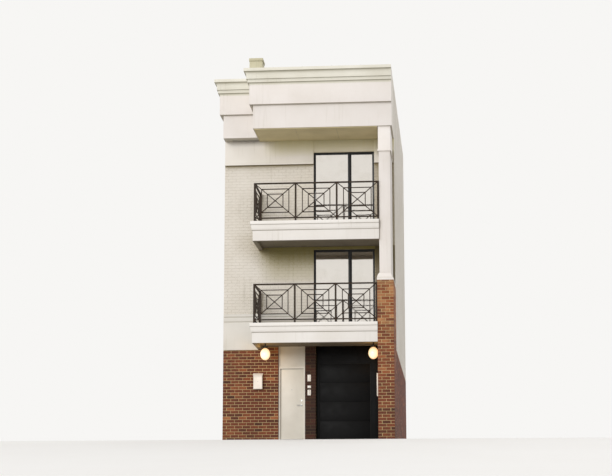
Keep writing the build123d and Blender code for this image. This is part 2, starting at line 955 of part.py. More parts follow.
save("rear_window_glass", *rear_window_glass())
save("rear_window_sills", *rear_window_sills())
save("entry_door_frame", entry_door_frame())
save("over_door_panel", over_door_panel())
save("entry_door", entry_door())
save("door_hinge_pins", *door_hinge_pins())
save("door_hinge_leaves", *door_hinge_leaves())
save("entry_door_handle", *entry_door_handle())
save("garage_surround", garage_surround())
save("garage_door", garage_door())
save("wall_band", wall_band())
save("frieze", *frieze())
save("front_parapet", front_parapet())
save("cornice", cornice())
save("side_parapets", *side_parapets())
save("rear_parapet", rear_parapet())
save("parapet_coping", parapet_coping())
save("chimney_stack", chimney_stack())
save("chimney_cap", chimney_cap())
save("lamp_fittings", *lamp_fittings())
save("lamp_globes", *lamp_globes())
save("letterbox", letterbox())
save("wall_plates", *wall_plates())
save("garage_board", garage_board())
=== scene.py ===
import json
import math
import random
from collections import namedtuple

import bmesh
import bpy
from mathutils import Matrix, Vector

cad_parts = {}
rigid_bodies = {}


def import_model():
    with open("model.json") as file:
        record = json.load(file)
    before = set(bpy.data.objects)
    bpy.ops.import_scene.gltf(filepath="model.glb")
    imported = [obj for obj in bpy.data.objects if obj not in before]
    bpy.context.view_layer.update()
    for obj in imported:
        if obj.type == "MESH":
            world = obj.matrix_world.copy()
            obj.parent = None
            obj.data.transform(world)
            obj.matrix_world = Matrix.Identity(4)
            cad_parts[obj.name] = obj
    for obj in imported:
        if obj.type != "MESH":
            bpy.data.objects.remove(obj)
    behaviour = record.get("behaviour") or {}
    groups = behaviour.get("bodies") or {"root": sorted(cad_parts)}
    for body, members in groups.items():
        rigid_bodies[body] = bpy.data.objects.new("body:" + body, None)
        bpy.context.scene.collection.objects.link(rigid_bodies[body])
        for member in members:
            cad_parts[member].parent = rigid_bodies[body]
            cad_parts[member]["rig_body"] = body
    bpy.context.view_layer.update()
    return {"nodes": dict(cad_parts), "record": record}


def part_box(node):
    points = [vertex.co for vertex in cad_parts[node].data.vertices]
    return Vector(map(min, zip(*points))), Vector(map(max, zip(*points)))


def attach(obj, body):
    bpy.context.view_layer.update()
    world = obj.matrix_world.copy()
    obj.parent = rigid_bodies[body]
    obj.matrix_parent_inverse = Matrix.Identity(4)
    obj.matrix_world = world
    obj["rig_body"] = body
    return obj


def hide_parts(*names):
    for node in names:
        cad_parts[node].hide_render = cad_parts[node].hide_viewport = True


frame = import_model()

# The looks of a three-storey townhouse. Metres, +Z up, the street side at -Y.
dice = random.Random(1973)

# Places read from the frame
left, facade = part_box("front_wall_first")[0].xy
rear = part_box("rear_wall_upper")[1].y
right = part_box("party_wall_right")[1].x
left_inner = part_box("party_wall_left")[1].x
right_inner, rear_inner, roof_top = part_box("roof_slab")[1]
roof_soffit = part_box("roof_slab")[0].z
pier_low, pier_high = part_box("pier_brick")
shaft_low, shaft_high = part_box("pier_shaft")
band_low, band_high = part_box("wall_band")
frieze_low, frieze_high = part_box("frieze")
entry_low, entry_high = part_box("entry_door_frame")
garage_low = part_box("garage_surround")[0]
parapet_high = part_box("rear_parapet")[1]
cornice_low, cornice_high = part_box("cornice")
coping_low, coping_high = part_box("parapet_coping")
lower_balcony_low, lower_balcony_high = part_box("balcony_first")
upper_balcony_low, upper_balcony_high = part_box("balcony_second")
lower_door_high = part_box("sliding_door_frame_first")[1]
upper_door_low, upper_door_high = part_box("sliding_door_frame_second")
porch_soffit = lower_balcony_low.z
porch_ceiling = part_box("front_wall_ground")[1].z
rim_drop = porch_ceiling - porch_soffit
storeys = ("first", "second")

# Sizes that the solids hold and the frame doesn't name
LEDGE = 0.065
RIM = 0.120
PARAPET = 0.230
BAY_INSET = 1.000
RECESS_REACH = 0.450
POST = 0.050
BASE_PLATE = 0.090
BASE_PLATE_THICKNESS = 0.008
RAILING_BAYS = 3
bay_left = left + BAY_INSET
front_plane = pier_low.y
recess_plane = facade - RECESS_REACH

# Brick and joint sizes
BRICK_LENGTH = 0.219
BRICK_WIDTH = 0.1025
BRICK_HEIGHT = 0.076
JOINT = 0.010
COURSE = BRICK_HEIGHT + JOINT
MODULE = BRICK_LENGTH + JOINT
LEAST_BRICK = 0.022
SHORT_BRICK = 0.050
RED_PROUD = 0.005
PAINTED_PROUD = 0.003
UNEVEN = 0.0008
ARRIS = 0.003
FLUSH = 0.001
LINTEL_EAR = 0.10


# Helpers for materials
def linear(code):
    """An sRGB hex colour as linear red, green, blue and an alpha of 1."""
    shares = [int(code[i : i + 2], 16) / 255 for i in (1, 3, 5)]
    return (*[c / 12.92 if c <= 0.04045 else ((c + 0.055) / 1.055) ** 2.4 for c in shares], 1.0)


def add(tree, kind, ports=None, out=0, stops=None, **settings):
    """Adds one shader node with its settings and returns one of its outputs. A port takes a
    value, a hex colour, or the output of another node to link from. By number, a MapRange has
    the value, its range from and to, and the new range from and to at 0 to 4. A Mix blends
    colours, with the share at 0 and the two colours at 6 and 7."""
    made = tree.nodes.new("ShaderNode" + kind)
    if kind == "Mix":
        made.data_type, out = "RGBA", 2
    for key, value in settings.items():
        setattr(made, key, value)
    for port, value in (ports or {}).items():
        if isinstance(value, bpy.types.NodeSocket):
            tree.links.new(value, made.inputs[port])
        else:
            made.inputs[port].default_value = linear(value) if isinstance(value, str) else value
    if stops:
        ramp = made.color_ramp.elements
        while len(ramp) < len(stops):
            ramp.new(0.5)
        for element, (place, colour) in zip(ramp, stops):
            element.position = place
            element.color = linear(colour)
    return made.outputs[out] if made.outputs else None


def begin(name):
    """An empty material, its node tree and the coordinates of its object in metres."""
    made = bpy.data.materials.new(name)
    made.use_nodes = True
    made.node_tree.nodes.clear()
    return made, made.node_tree, add(made.node_tree, "TexCoord", out="Object")


def mottled(tree, place, colour, tint, size, detail, span=(0.3, 0.7), most=1.0):
    """Clouds of a tint over a colour, of a real size in metres. They start and are full where
    their pattern reaches the ends of a span, and the pattern comes back with the colour."""
    pattern = add(tree, "TexNoise", {"Vector": place, "Scale": 1 / size, "Detail": detail})
    share = add(tree, "MapRange", {0: pattern, 1: span[0], 2: span[1], 4: most})
    return add(tree, "Mix", {0: share, 6: colour, 7: tint}), pattern


def drawn_out(tree, place, waves, detail):
    """A pattern with its own number of waves to the metre along each axis."""
    stretched = add(tree, "Mapping", {"Vector": place, "Scale": waves})
    return add(tree, "TexNoise", {"Vector": stretched, "Scale": 1.0, "Detail": detail})


def coat(made, colour, rough, relief=(), ior=1.5, **ports):
    """Gives a material the surface that the light meets, and returns it. Each pattern of the
    relief raises it by a depth in metres, one on top of another."""
    surface = {"Base Color": colour, "Roughness": rough, "IOR": ior}
    surface.update({port.replace("_", " "): value for port, value in ports.items()})
    for pattern, depth in relief:
        bump = {"Height": pattern, "Distance": depth}
        if "Normal" in surface:
            bump["Normal"] = surface["Normal"]
        surface["Normal"] = add(made.node_tree, "Bump", bump)
    shader = add(made.node_tree, "BsdfPrincipled", surface)
    add(made.node_tree, "OutputMaterial", {"Surface": shader})
    return made


# Materials
FIRED_REDS = (
    (0.00, "#321811"), (0.20, "#512618"), (0.45, "#6B3420"),
    (0.70, "#7F4226"), (0.88, "#9C5C37"), (1.00, "#B37D52"),
)
MORTAR_DARK = "#B8A170"
MORTAR_PALE = "#D8C392"
FACADE_MARGIN = 0.02


def facing_brick(name, darkening=0.0):
    """Fired clay, pressed in sanded moulds: each brick has its own red, with darker burnt
    patches, a gritty face and a few pale ones, so the wall reads as speckled red-brown. With a
    darkening share the bricks go towards near black, which is painted shade."""
    made, tree, place = begin(name)
    tone = add(tree, "Attribute", out="Fac", attribute_name="tone")
    colour = add(tree, "ValToRGB", {0: tone}, stops=FIRED_REDS)
    colour, _ = mottled(tree, place, colour, "#3E1E14", 0.11, 3.0, (0.38, 0.70), 0.40)
    colour, sand = mottled(tree, place, colour, "#AE7F56", 0.006, 2.0, (0.52, 0.70), 0.28)
    colour, _ = mottled(tree, place, colour, "#4A3026", 0.9, 4.0, (0.50, 0.75), 0.45)
    if darkening:
        # The mix towards near black is painted shade.
        colour = add(tree, "Mix", {0: darkening, 6: colour, 7: "#1D0F0B"})
    folds = drawn_out(tree, place, (17, 17, 66), 4.0)
    return coat(made, colour, 0.88, ((folds, 0.0015), (sand, 0.0007)))


def mortar_bed(darkening, left_end, right_end, top):
    """Sand and lime mortar, struck flush and weathered: coarse-grained, chalky tan joints that
    darken where the wall stays damp, and that are near black between the doors as painted shade."""
    made, tree, place = begin("sand_lime_mortar")
    sand = add(tree, "TexNoise", {"Vector": place, "Scale": 1 / 0.005, "Detail": 2.0})
    grains = add(tree, "MapRange", {0: sand, 1: 0.35, 2: 0.65})
    colour = add(tree, "Mix", {0: grains, 6: MORTAR_DARK, 7: MORTAR_PALE})
    colour, _ = mottled(tree, place, colour, "#98855C", 0.7, 3.0, (0.45, 0.75), 0.55)
    axes = add(tree, "SeparateXYZ", {0: place}).node.outputs
    # A mask for the joints between the doors, which are made near black as painted shade.
    painted_shade = add(tree, "Math", {0: axes["X"], 1: left_end}, operation="GREATER_THAN")
    for axis, edge in (("X", right_end), ("Y", facade + FACADE_MARGIN), ("Z", top)):
        inside = add(tree, "Math", {0: axes[axis], 1: edge}, operation="LESS_THAN")
        painted_shade = add(tree, "Math", {0: painted_shade, 1: inside}, operation="MULTIPLY")
    painted_shade = add(tree, "Math", {0: painted_shade, 1: darkening}, operation="MULTIPLY")
    colour = add(tree, "Mix", {0: painted_shade, 6: colour, 7: "#2A1A13"})
    return coat(made, colour, 0.95, ((grains, 0.001),), ior=1.45)


def rain_dirt(tree, place, colour, stain, streaks):
    """Soft runs of rain dirt down a wall, in some places only, and the pattern of the runs."""
    runs = drawn_out(tree, place, (14, 14, 0.8), 5.0)
    run = add(tree, "MapRange", {0: runs, 1: 0.56, 2: 0.80, 4: streaks})
    patches = add(tree, "TexNoise", {"Vector": place, "Scale": 1 / 1.4, "Detail": 2.0})
    patch = add(tree, "MapRange", {0: patches, 1: 0.42, 2: 0.62})
    dirt = add(tree, "Math", {0: run, 1: patch}, operation="MULTIPLY")
    return add(tree, "Mix", {0: dirt, 6: colour, 7: stain}), runs


def grime_and_painted_shade(tree, place, colour, stain, corners, lean, faint_above):
    """Dirt and painted shade in the corners and under the ledges, darker the more closed in a
    place is. With a lean it gathers more below what shelters the wall than above a floor,
    and above a level there is little of it."""
    reach, strength = corners
    shelter = {"Distance": reach}
    if lean:
        outward = add(tree, "NewGeometry", out="Normal")
        upward = add(tree, "VectorMath", {0: outward, 1: (0.0, 0.0, lean)}, operation="ADD")
        shelter["Normal"] = add(tree, "VectorMath", {0: upward}, operation="NORMALIZE")
    # Darker where ambient occlusion finds the place closed in: dirt and painted shade.
    openness = add(tree, "AmbientOcclusion", shelter, out="AO", samples=4)
    clear = 0.92 - 0.2 * lean
    grime_and_shade = add(tree, "MapRange", {0: openness, 1: 0.40, 2: clear, 3: strength, 4: 0.0})
    if faint_above is not None:
        level = add(tree, "SeparateXYZ", {0: place}, "Z")
        ends = {1: faint_above - 0.05, 2: faint_above + 0.05, 3: 1.0, 4: 0.0}
        thin = add(tree, "MapRange", {0: level, **ends})
        grime_and_shade = add(tree, "Math", {0: grime_and_shade, 1: thin}, operation="MULTIPLY")
    return add(tree, "Mix", {0: grime_and_shade, 6: colour, 7: stain})


def turned_faces(tree, colour, stain, under, inside):
    """Painted shade, with some dirt, on undersides, and dust on what faces up. The underside and
    the inner faces of a balcony's rim may have a colour of their own."""
    facing = add(tree, "SeparateXYZ", {0: add(tree, "NewGeometry", out="Normal")}).node.outputs
    # Undersides darker: painted shade, with some dirt.
    below = add(tree, "MapRange", {0: facing["Z"], 1: -0.9, 2: -0.4, 3: under, 4: 0.0})
    above = add(tree, "MapRange", {0: facing["Z"], 1: 0.4, 2: 0.9, 3: 0.0, 4: 0.45})
    dust_and_shade = add(tree, "Math", {0: below, 1: above}, operation="ADD")
    colour = add(tree, "Mix", {0: dust_and_shade, 6: colour, 7: stain})
    if inside:
        across = add(tree, "Math", {0: facing["X"], 1: facing["Y"]}, operation="MAXIMUM")
        down = add(tree, "Math", {0: facing["Z"], 1: -1.0}, operation="MULTIPLY")
        inward = add(tree, "Math", {0: across, 1: down}, operation="MAXIMUM")
        inward = add(tree, "MapRange", {0: inward, 1: 0.5, 2: 0.8})
        colour = add(tree, "Mix", {0: inward, 6: colour, 7: inside})
    return colour


# A tinted patch of damp stain and of painted shade on the street side, from a place on X to the
# right, which grows from its bottom to its top, fades in over a width at its left, and rises the
# more at once the smaller its curve is
TintPatch = namedtuple("TintPatch", "start bottom top tint fade curve")


def stained(tree, place, colour, runs, stain):
    """A tinted patch, uneven along the runs of rain dirt. The patches below are damp stain and
    painted shade.
    """
    axes = add(tree, "SeparateXYZ", {0: place}).node.outputs
    fade_in = {1: stain.start, 2: stain.start + stain.fade}
    share = add(tree, "MapRange", {0: axes["X"], **fade_in})
    rise = add(tree, "MapRange", {0: axes["Z"], 1: stain.bottom, 2: stain.top})
    rise = add(tree, "Math", {0: rise, 1: stain.curve}, operation="POWER")
    outer = add(tree, "Math", {0: axes["Y"], 1: facade + FACADE_MARGIN}, operation="LESS_THAN")
    lower = add(tree, "Math", {0: axes["Z"], 1: stain.top}, operation="LESS_THAN")
    uneven = add(tree, "MapRange", {0: runs, 1: 0.3, 2: 0.7, 3: 0.58, 4: 0.74})
    for factor in (rise, outer, lower, uneven):
        share = add(tree, "Math", {0: share, 1: factor}, operation="MULTIPLY")
    return add(tree, "Mix", {0: share, 6: colour, 7: stain.tint})


# The dirt colour also serves as painted shade, in corners and on undersides.
def masonry_paint(
    name, pale, dull, dirt, under, streaks=0.22, grain=0.004, corners=(0.10, 0.30),
    bare_below=None, tint_patches=(), inside=None, lean=0.0, faint_above=None,
):
    """Matt masonry paint, rolled on in thick coats: an even cream with soft runs of rain dirt,
    dirt and painted shade in the corners and under the ledges, dust on what faces up, and the
    orange-peel stipple that the roller leaves. Below a level the wall may be left as bare mortar,
    and tinted patches of damp stain and of painted shade may lie over it."""
    made, tree, place = begin(name)
    tone = add(tree, "Attribute", out="Fac", attribute_name="tone")
    colour, clouds = mottled(tree, place, pale, dull, 0.9, 3.0)
    brick = add(tree, "MapRange", {0: tone, 4: 0.3})
    colour = add(tree, "Mix", {0: brick, 6: colour, 7: dull})
    colour, runs = rain_dirt(tree, place, colour, dirt, streaks)
    colour = grime_and_painted_shade(tree, place, colour, dirt, corners, lean, faint_above)
    colour = turned_faces(tree, colour, dirt, under, inside)
    for stain in tint_patches:
        colour = stained(tree, place, colour, runs, stain)

    stipple = add(tree, "TexNoise", {"Vector": place, "Scale": 1 / grain, "Detail": 2.0})
    if bare_below is not None:
        height = add(tree, "SeparateXYZ", {0: place}, "Z")
        bare = add(tree, "Math", {0: height, 1: bare_below}, operation="LESS_THAN")
        sand = add(tree, "MapRange", {0: stipple, 1: 0.35, 2: 0.65})
        mortar = add(tree, "Mix", {0: sand, 6: MORTAR_DARK, 7: MORTAR_PALE})
        colour = add(tree, "Mix", {0: bare, 6: colour, 7: mortar})
    waves = add(tree, "TexNoise", {"Vector": place, "Scale": 1 / 0.12, "Detail": 3.0})
    rough = add(tree, "MapRange", {0: clouds, 1: 0.3, 2: 0.7, 3: 0.64, 4: 0.76})
    return coat(made, colour, rough, ((waves, 0.002), (stipple, 0.0008)))


def cast_concrete():
    """Structural concrete, cast against boards: grey and blotchy, with small air holes that are
    darker inside as painted shade.
    """
    made, tree, place = begin("cast_concrete")
    colour, _ = mottled(tree, place, "#B3AEA4", "#918D85", 0.5, 4.0)
    air = add(tree, "TexNoise", {"Vector": place, "Scale": 1 / 0.012, "Detail": 1.0})
    holes = add(tree, "MapRange", {0: air, 1: 0.66, 2: 0.74})
    # Darker air holes: painted shade.
    colour = add(tree, "Mix", {0: holes, 6: colour, 7: "#6F6B64"})
    boards = drawn_out(tree, place, (7, 1.1, 7), 3.0)
    return coat(made, colour, 0.85, ((boards, 0.002), (holes, -0.002)))


def powder_coat(name, base, worn, rough, shine=0.5):
    """Powder-coated metal, baked: an even satin film with a very fine orange peel, dulled by
    dust in patches."""
    made, tree, place = begin(name)
    colour, dust = mottled(tree, place, base, worn, 0.25, 5.0, (0.40, 0.75), 0.6)
    peel = add(tree, "TexNoise", {"Vector": place, "Scale": 1 / 0.004, "Detail": 1.0})
    gloss = add(tree, "MapRange", {0: dust, 1: 0.40, 2: 0.75, 3: rough, 4: rough + 0.16})
    return coat(made, colour, gloss, ((peel, 0.0001),), Specular_IOR_Level=shine)


def solar_glass():
    """Solar-control float glass with a fired metal coat: by day it mirrors the pale sky and
    hides the room, with the slight ripple of toughened panes and a film of dust."""
    made, tree, place = begin("solar_control_glass")
    waves = add(tree, "TexNoise", {"Vector": place, "Scale": 1 / 0.5, "Detail": 1.0})
    colour, dust = mottled(tree, place, "#ECE7E0", "#D3CCC0", 0.35, 5.0, (0.45, 0.80), 0.35)
    gloss = add(tree, "MapRange", {0: dust, 1: 0.45, 2: 0.80, 3: 0.03, 4: 0.10})
    return coat(made, colour, gloss, ((waves, 0.0012),), Metallic=0.95, Alpha=0.95)


def door_paint():
    """Oil-based satin paint on a timber door: warm ivory with faint brush marks down the leaf."""
    made, tree, place = begin("satin_painted_timber")
    colour, _ = mottled(tree, place, "#DFDACF", "#D5CFC3", 0.5, 3.0)
    brush = drawn_out(tree, place, (330, 330, 5.5), 3.0)
    rough = add(tree, "MapRange", {0: brush, 1: 0.3, 2: 0.7, 3: 0.36, 4: 0.48})
    return coat(made, colour, rough, ((brush, 0.0003),))


def brushed_steel():
    """Stainless steel, brushed along: soft long highlights with fine scratches."""
    made, tree, place = begin("brushed_stainless_steel")
    lines = drawn_out(tree, place, (20, 800, 800), 2.0)
    colour = add(tree, "Mix", {0: lines, 6: "#9EA0A1", 7: "#D0D1D1"})
    rough = add(tree, "MapRange", {0: lines, 1: 0.3, 2: 0.7, 3: 0.26, 4: 0.40})
    return coat(made, colour, rough, ((lines, 0.0001),), Metallic=1.0)


def opal_glass():
    """Blown opal glass with a lamp lit inside: creamy white in the middle and amber towards
    its edge, where more glass lies across the view."""
    made, tree, place = begin("opal_glass")
    colour, _ = mottled(tree, place, "#FFF3DC", "#F6E6C6", 0.08, 3.0)
    edge = add(tree, "LayerWeight", {"Blend": 0.35}, "Facing")
    glow = add(tree, "Mix", {0: edge, 6: "#FFE7BC", 7: "#F0A850"})
    return coat(made, colour, 0.15, Emission_Color=glow, Emission_Strength=0.9)


def soffit_board(name, pale, dull):
    """Fibre-cement board, painted in place: flat, slightly blotchy, with a fine felt texture."""
    made, tree, place = begin(name)
    colour, _ = mottled(tree, place, pale, dull, 0.6, 4.0)
    felt = add(tree, "TexNoise", {"Vector": place, "Scale": 1 / 0.005, "Detail": 2.0})
    return coat(made, colour, 0.8, ((felt, 0.0003),))


def paving_tile():
    """Porcelain stoneware tiles, pressed and fired: each its own grey-beige, finely speckled."""
    made, tree, place = begin("porcelain_paving_tile")
    tone = add(tree, "Attribute", out="Fac", attribute_name="tone")
    colour = add(tree, "Mix", {0: tone, 6: "#D3CCBF", 7: "#C3BBAE"})
    colour, specks = mottled(tree, place, colour, "#A79F92", 0.006, 2.0, (0.55, 0.70), 0.5)
    rough = add(tree, "MapRange", {0: specks, 1: 0.3, 2: 0.7, 3: 0.45, 4: 0.60})
    return coat(made, colour, rough, ((specks, 0.0003),))


def bitumen_felt():
    """Mineral-surfaced bitumen felt, torched down: grey slate granules with bare dark specks
    and pale dust where water has stood."""
    made, tree, place = begin("mineral_bitumen_felt")
    granules = add(tree, "TexVoronoi", {"Vector": place, "Scale": 1 / 0.006}, "Color")
    grey = add(tree, "SeparateXYZ", {0: granules}, "X")
    colour = add(tree, "Mix", {0: grey, 6: "#605E5A", 7: "#8A8781"})
    colour, _ = mottled(tree, place, colour, "#A39D8F", 1.1, 4.0, (0.48, 0.70), 0.26)
    return coat(made, colour, 0.92, ((grey, 0.001),))


def milled_lead():
    """Milled lead sheet, dressed by hand and patinated: dull blue-grey with soft dents."""
    made, tree, place = begin("patinated_lead_sheet")
    colour, bloom = mottled(tree, place, "#858687", "#AFAEAA", 0.15, 5.0, (0.35, 0.70))
    dents = add(tree, "TexNoise", {"Vector": place, "Scale": 1 / 0.04, "Detail": 2.0})
    rough = add(tree, "MapRange", {0: bloom, 1: 0.35, 2: 0.70, 3: 0.5, 4: 0.7})
    return coat(made, colour, rough, ((dents, 0.0015),), Metallic=0.6)


def gasket_rubber():
    """Extruded EPDM rubber: matt black with a faint grey bloom of age."""
    made, tree, place = begin("extruded_rubber_gasket")
    bloom = add(tree, "TexNoise", {"Vector": place, "Scale": 1 / 0.08, "Detail": 4.0})
    colour = add(tree, "Mix", {0: bloom, 6: "#131313", 7: "#2B2A28"})
    pores = add(tree, "TexNoise", {"Vector": place, "Scale": 1 / 0.003, "Detail": 1.0})
    return coat(made, colour, 0.75, ((pores, 0.0001),), Specular_IOR_Level=0.3)


def fired_liner():
    """Fired clay flue liner: buff outside and blackened with soot inside the mouth."""
    made, tree, place = begin("fired_clay_flue_liner")
    colour, darkening = mottled(tree, place, "#8B5A40", "#2B2420", 0.05, 4.0, (0.3, 0.6))
    return coat(made, colour, 0.9, ((darkening, 0.002),))


# Tinted patches: under the upper balcony a damp stain that is partly painted shade, beside the
# sliding door below it painted shade in the corner, and under the roof a pale yellow painted
# warm tint of the shade
upper_balcony_ceiling = upper_balcony_low.z + rim_drop
BALCONY_PATCH_REACH = 1.05
ROOF_TINT_INSET = 0.15
ROOF_TINT_REACH = 0.50
balcony_damp_and_shade = TintPatch(
    upper_balcony_low.x, upper_balcony_ceiling - BALCONY_PATCH_REACH, upper_balcony_ceiling, "#938842", fade=0.55, curve=0.45
)
# Painted shade in the corner beside the lower sliding door.
corner_painted_shade = TintPatch(lower_door_high.x, band_high.z, upper_balcony_ceiling, "#4A3B2C", fade=0.02, curve=0.15)
# A pale yellow painted warm tint of the shade under the roof.
roof_painted_warm_tint = TintPatch(
    upper_balcony_low.x + ROOF_TINT_INSET, roof_soffit - ROOF_TINT_REACH, roof_soffit,
    "#DED699", fade=0.55, curve=0.80,
)

# Finishes
# Under and corners set each finish's share of painted shade on undersides and in corners.
brick_finish = facing_brick("fired_clay_facing_brick")
# Bricks and joints between the doors, darkened as painted shade.
painted_shade_brick_finish = facing_brick("painted_shade_clay_facing_brick", darkening=0.6)
mortar_finish = mortar_bed(
    darkening=0.85, left_end=entry_high.x, right_end=garage_low.x, top=porch_ceiling
)
painted_finish = masonry_paint(
    "painted_brickwork", "#E6E0D7", "#DED7CC", "#857753", under=0.4, streaks=0.32, grain=0.006,
    corners=(0.75, 1.00), bare_below=band_low.z, tint_patches=(balcony_damp_and_shade, corner_painted_shade, roof_painted_warm_tint),
    lean=0.7, faint_above=upper_door_high.z,
)
render_finish = masonry_paint(
    "painted_cement_render", "#EFE9E5", "#E8E1DB", "#ADA58F", under=0.65
)
balcony_finish = masonry_paint(
    "painted_balcony_render", "#F1EDE9", "#EAE5DF", "#ADA58F", under=0.0, inside="#867D6C"
)
set_back = {"dirt": "#A59C84", "under": 1.0, "streaks": 0.25, "corners": (0.08, 0.25)}
facade_render_finish = masonry_paint(
    "painted_cement_render_set_back", "#E9E4DD", "#E1DBD2", tint_patches=(roof_painted_warm_tint,), **set_back
)
band_finish = masonry_paint("painted_cement_band", "#DEDAD3", "#D6D1C8", **set_back)
cornice_finish = masonry_paint(
    "weathered_moulding_paint", "#EBE8DC", "#E0DCCE", "#8F8A6E", under=0.7, streaks=0.45,
    corners=(0.10, 0.60),
)
chimney_finish = masonry_paint(
    "weathered_chimney_render", "#CEC8AB", "#C0B998", "#8B8666", under=0.4, streaks=0.50,
    grain=0.006, corners=(0.14, 0.50),
)
steel_finish = brushed_steel()
door_finish = door_paint()
globe_finish = opal_glass()
lamp_metal_finish = powder_coat("dark_lamp_metal", "#2B2724", "#3A3530", rough=0.40)
white_metal_finish = powder_coat("white_enamelled_steel", "#EFE8DF", "#DDD5C8", rough=0.35)
rubber_finish = gasket_rubber()
aluminium_finish = powder_coat(
    "black_anodised_aluminium", "#131314", "#232221", rough=0.35, shine=0.3
)
railing_finish = powder_coat(
    "bronze_black_painted_steel", "#2B1F14", "#392A1B", rough=0.45, shine=0.18
)
garage_finish = powder_coat(
    "black_powder_coated_steel", "#0A0A0B", "#141414", rough=0.50, shine=0.10
)

finish_of_slot = {
    "brick_red": mortar_finish,
    "painted_brick": painted_finish,
    "render": render_finish,
    "chimney_render": chimney_finish,
    "concrete": cast_concrete(),
    "window_metal": aluminium_finish,
    "window_glass": solar_glass(),
    "railing_metal": railing_finish,
    "door_paint": door_finish,
    "door_steel": steel_finish,
    "garage_paint": garage_finish,
    "lamp_metal": lamp_metal_finish,
    "lamp_glass": globe_finish,
    "white_metal": white_metal_finish,
}
slot_of_node = {part["node"]: part["material_slot"] for part in frame["record"]["subparts"]}
finish_of_node = {node: finish_of_slot[slot] for node, slot in slot_of_node.items()}
finish_of_node["frieze"] = facade_render_finish
finish_of_node["balcony_first"] = finish_of_node["balcony_second"] = balcony_finish
finish_of_node["wall_band"] = band_finish
finish_of_node["cornice"] = finish_of_node["parapet_coping"] = cornice_finish
for node_name, node_finish in finish_of_node.items():
    node_mesh = frame["nodes"][node_name].data
    node_mesh.materials.clear()
    node_mesh.materials.append(node_finish)

# Looks of new pieces: a finish, and the record's slot that it is taken from
fired = (brick_finish, "brick_red")
painted_shade = (painted_shade_brick_finish, "brick_red")
painted = (painted_finish, "painted_brick")
balcony_boards = (soffit_board("dark_painted_soffit_board", "#867D6C", "#746C5D"), "render")
# The roof ceiling's tan is partly its paint and partly a painted warm tint of its shade.
roof_boards = (soffit_board("soffit_board_with_painted_warm_shade", "#E3D6AD", "#D3C69D"), "render")
tiles = (paving_tile(), "concrete")
felt = (bitumen_felt(), "concrete")
lead = (milled_lead(), "lamp_metal")
lamp_metal = (lamp_metal_finish, "lamp_metal")
steel = (steel_finish, "door_steel")
railing_steel = (steel_finish, "railing_metal")
hole_shade_and_lens_rubber = (rubber_finish, "railing_metal")
window_rubber = (rubber_finish, "window_metal")
garage_rubber = (rubber_finish, "garage_paint")


# Helpers for pieces
def placed(name, data):
    """An object in the scene for a mesh, a lamp or a camera."""
    made = bpy.data.objects.new(name, data)
    bpy.context.scene.collection.objects.link(made)
    return made


def piece(name, shape, look, body="house"):
    """Turns a bmesh into a named piece that moves with a body."""
    material, slot = look
    mesh = bpy.data.meshes.new(name)
    shape.to_mesh(mesh)
    shape.free()
    mesh.materials.append(material)
    made = placed(name, mesh)
    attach(made, body)
    return made


def smooth(made, angle=40):
    """Smooth shading that keeps every edge sharper than the angle."""
    made.data.shade_smooth()
    made.data.set_sharp_from_angle(angle=math.radians(angle))
    return made


def eased(shape, edges, width, segments=1):
    """Rounds the given edges by one width."""
    bmesh.ops.bevel(
        shape, geom=edges, offset=width, segments=segments, profile=0.5, affect="EDGES",
        material=-1, clamp_overlap=True,
    )


def rims(shape, angle):
    """The edges at which a shape turns by more than an angle."""
    return [edge for edge in shape.edges if edge.calc_face_angle(0) > math.radians(angle)]


def merged(node):
    """A copy of a node's mesh with its loose triangles joined."""
    shape = bmesh.new()
    shape.from_mesh(frame["nodes"][node].data)
    bmesh.ops.remove_doubles(shape, verts=shape.verts[:], dist=0.00001)
    return shape


def softened(node, width, segments=2):
    """A copy of a node with rounded arrises, which stands for it."""
    shape = merged(node)
    bmesh.ops.dissolve_limit(
        shape, angle_limit=math.radians(1), verts=shape.verts[:], edges=shape.edges[:]
    )
    sharp = [edge for edge in rims(shape, 30) if len(edge.link_faces) == 2]
    eased(shape, sharp, width, segments)
    look = (finish_of_node[node], slot_of_node[node])
    made = piece(f"{node}_finished", shape, look, frame["nodes"][node]["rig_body"])
    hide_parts(node)
    return smooth(made)


def solids(node):
    """The lowest and highest corner of each separate solid of a node, from left to right."""
    shape = merged(node)
    waiting = set(shape.verts)
    boxes = []
    while waiting:
        front = [waiting.pop()]
        solid = []
        while front:
            vert = front.pop()
            solid.append(vert.co.copy())
            near = [edge.other_vert(vert) for edge in vert.link_edges]
            fresh = [other for other in near if other in waiting]
            waiting.difference_update(fresh)
            front += fresh
        low = Vector([min(co[i] for co in solid) for i in range(3)])
        high = Vector([max(co[i] for co in solid) for i in range(3)])
        boxes.append((low, high))
    shape.free()
    return sorted(boxes, key=lambda box: [round(c, 4) for c in box[0]])


def around(middle, width):
    """The two ends of a width about a middle."""
    return (middle - width / 2, middle + width / 2)


def cell(start, step, number, gap):
    """The two ends of one of many equal cells in a row, with a gap between each two."""
    return (start + number * step + gap / 2, start + (number + 1) * step - gap / 2)


def layer(plane, out, depth):
    """The two sides of a layer of one depth on a plane that faces out."""
    return sorted((plane, plane + out * depth))


def stud(x, face, z, out, reach, radius):
    """A round part that stands out of an upright face along Y."""
    return ((x, face, z), (x, face + out * reach, z), radius)


def disc(centre, thickness, radius):
    """A round plate that lies flat."""
    return (centre, centre + Vector((0, 0, thickness)), radius)


def border(x, y, z, width):
    """Four strips inside the edges of an upright opening that faces along Y."""
    inner = (x[0] + width, x[1] - width)
    return [
        ((x[0], x[0] + width), y, z),
        ((x[1] - width, x[1]), y, z),
        (inner, y, (z[0], z[0] + width)),
        (inner, y, (z[1] - width, z[1])),
    ]


def collar(x, y, z, reach):
    """Four strips round the outside of an upright shaft."""
    wide = (x[0] - reach, x[1] + reach)
    return [
        (wide, (y[0] - reach, y[0]), z),
        (wide, (y[1], y[1] + reach), z),
        ((x[0] - reach, x[0]), y, z),
        ((x[1], x[1] + reach), y, z),
    ]


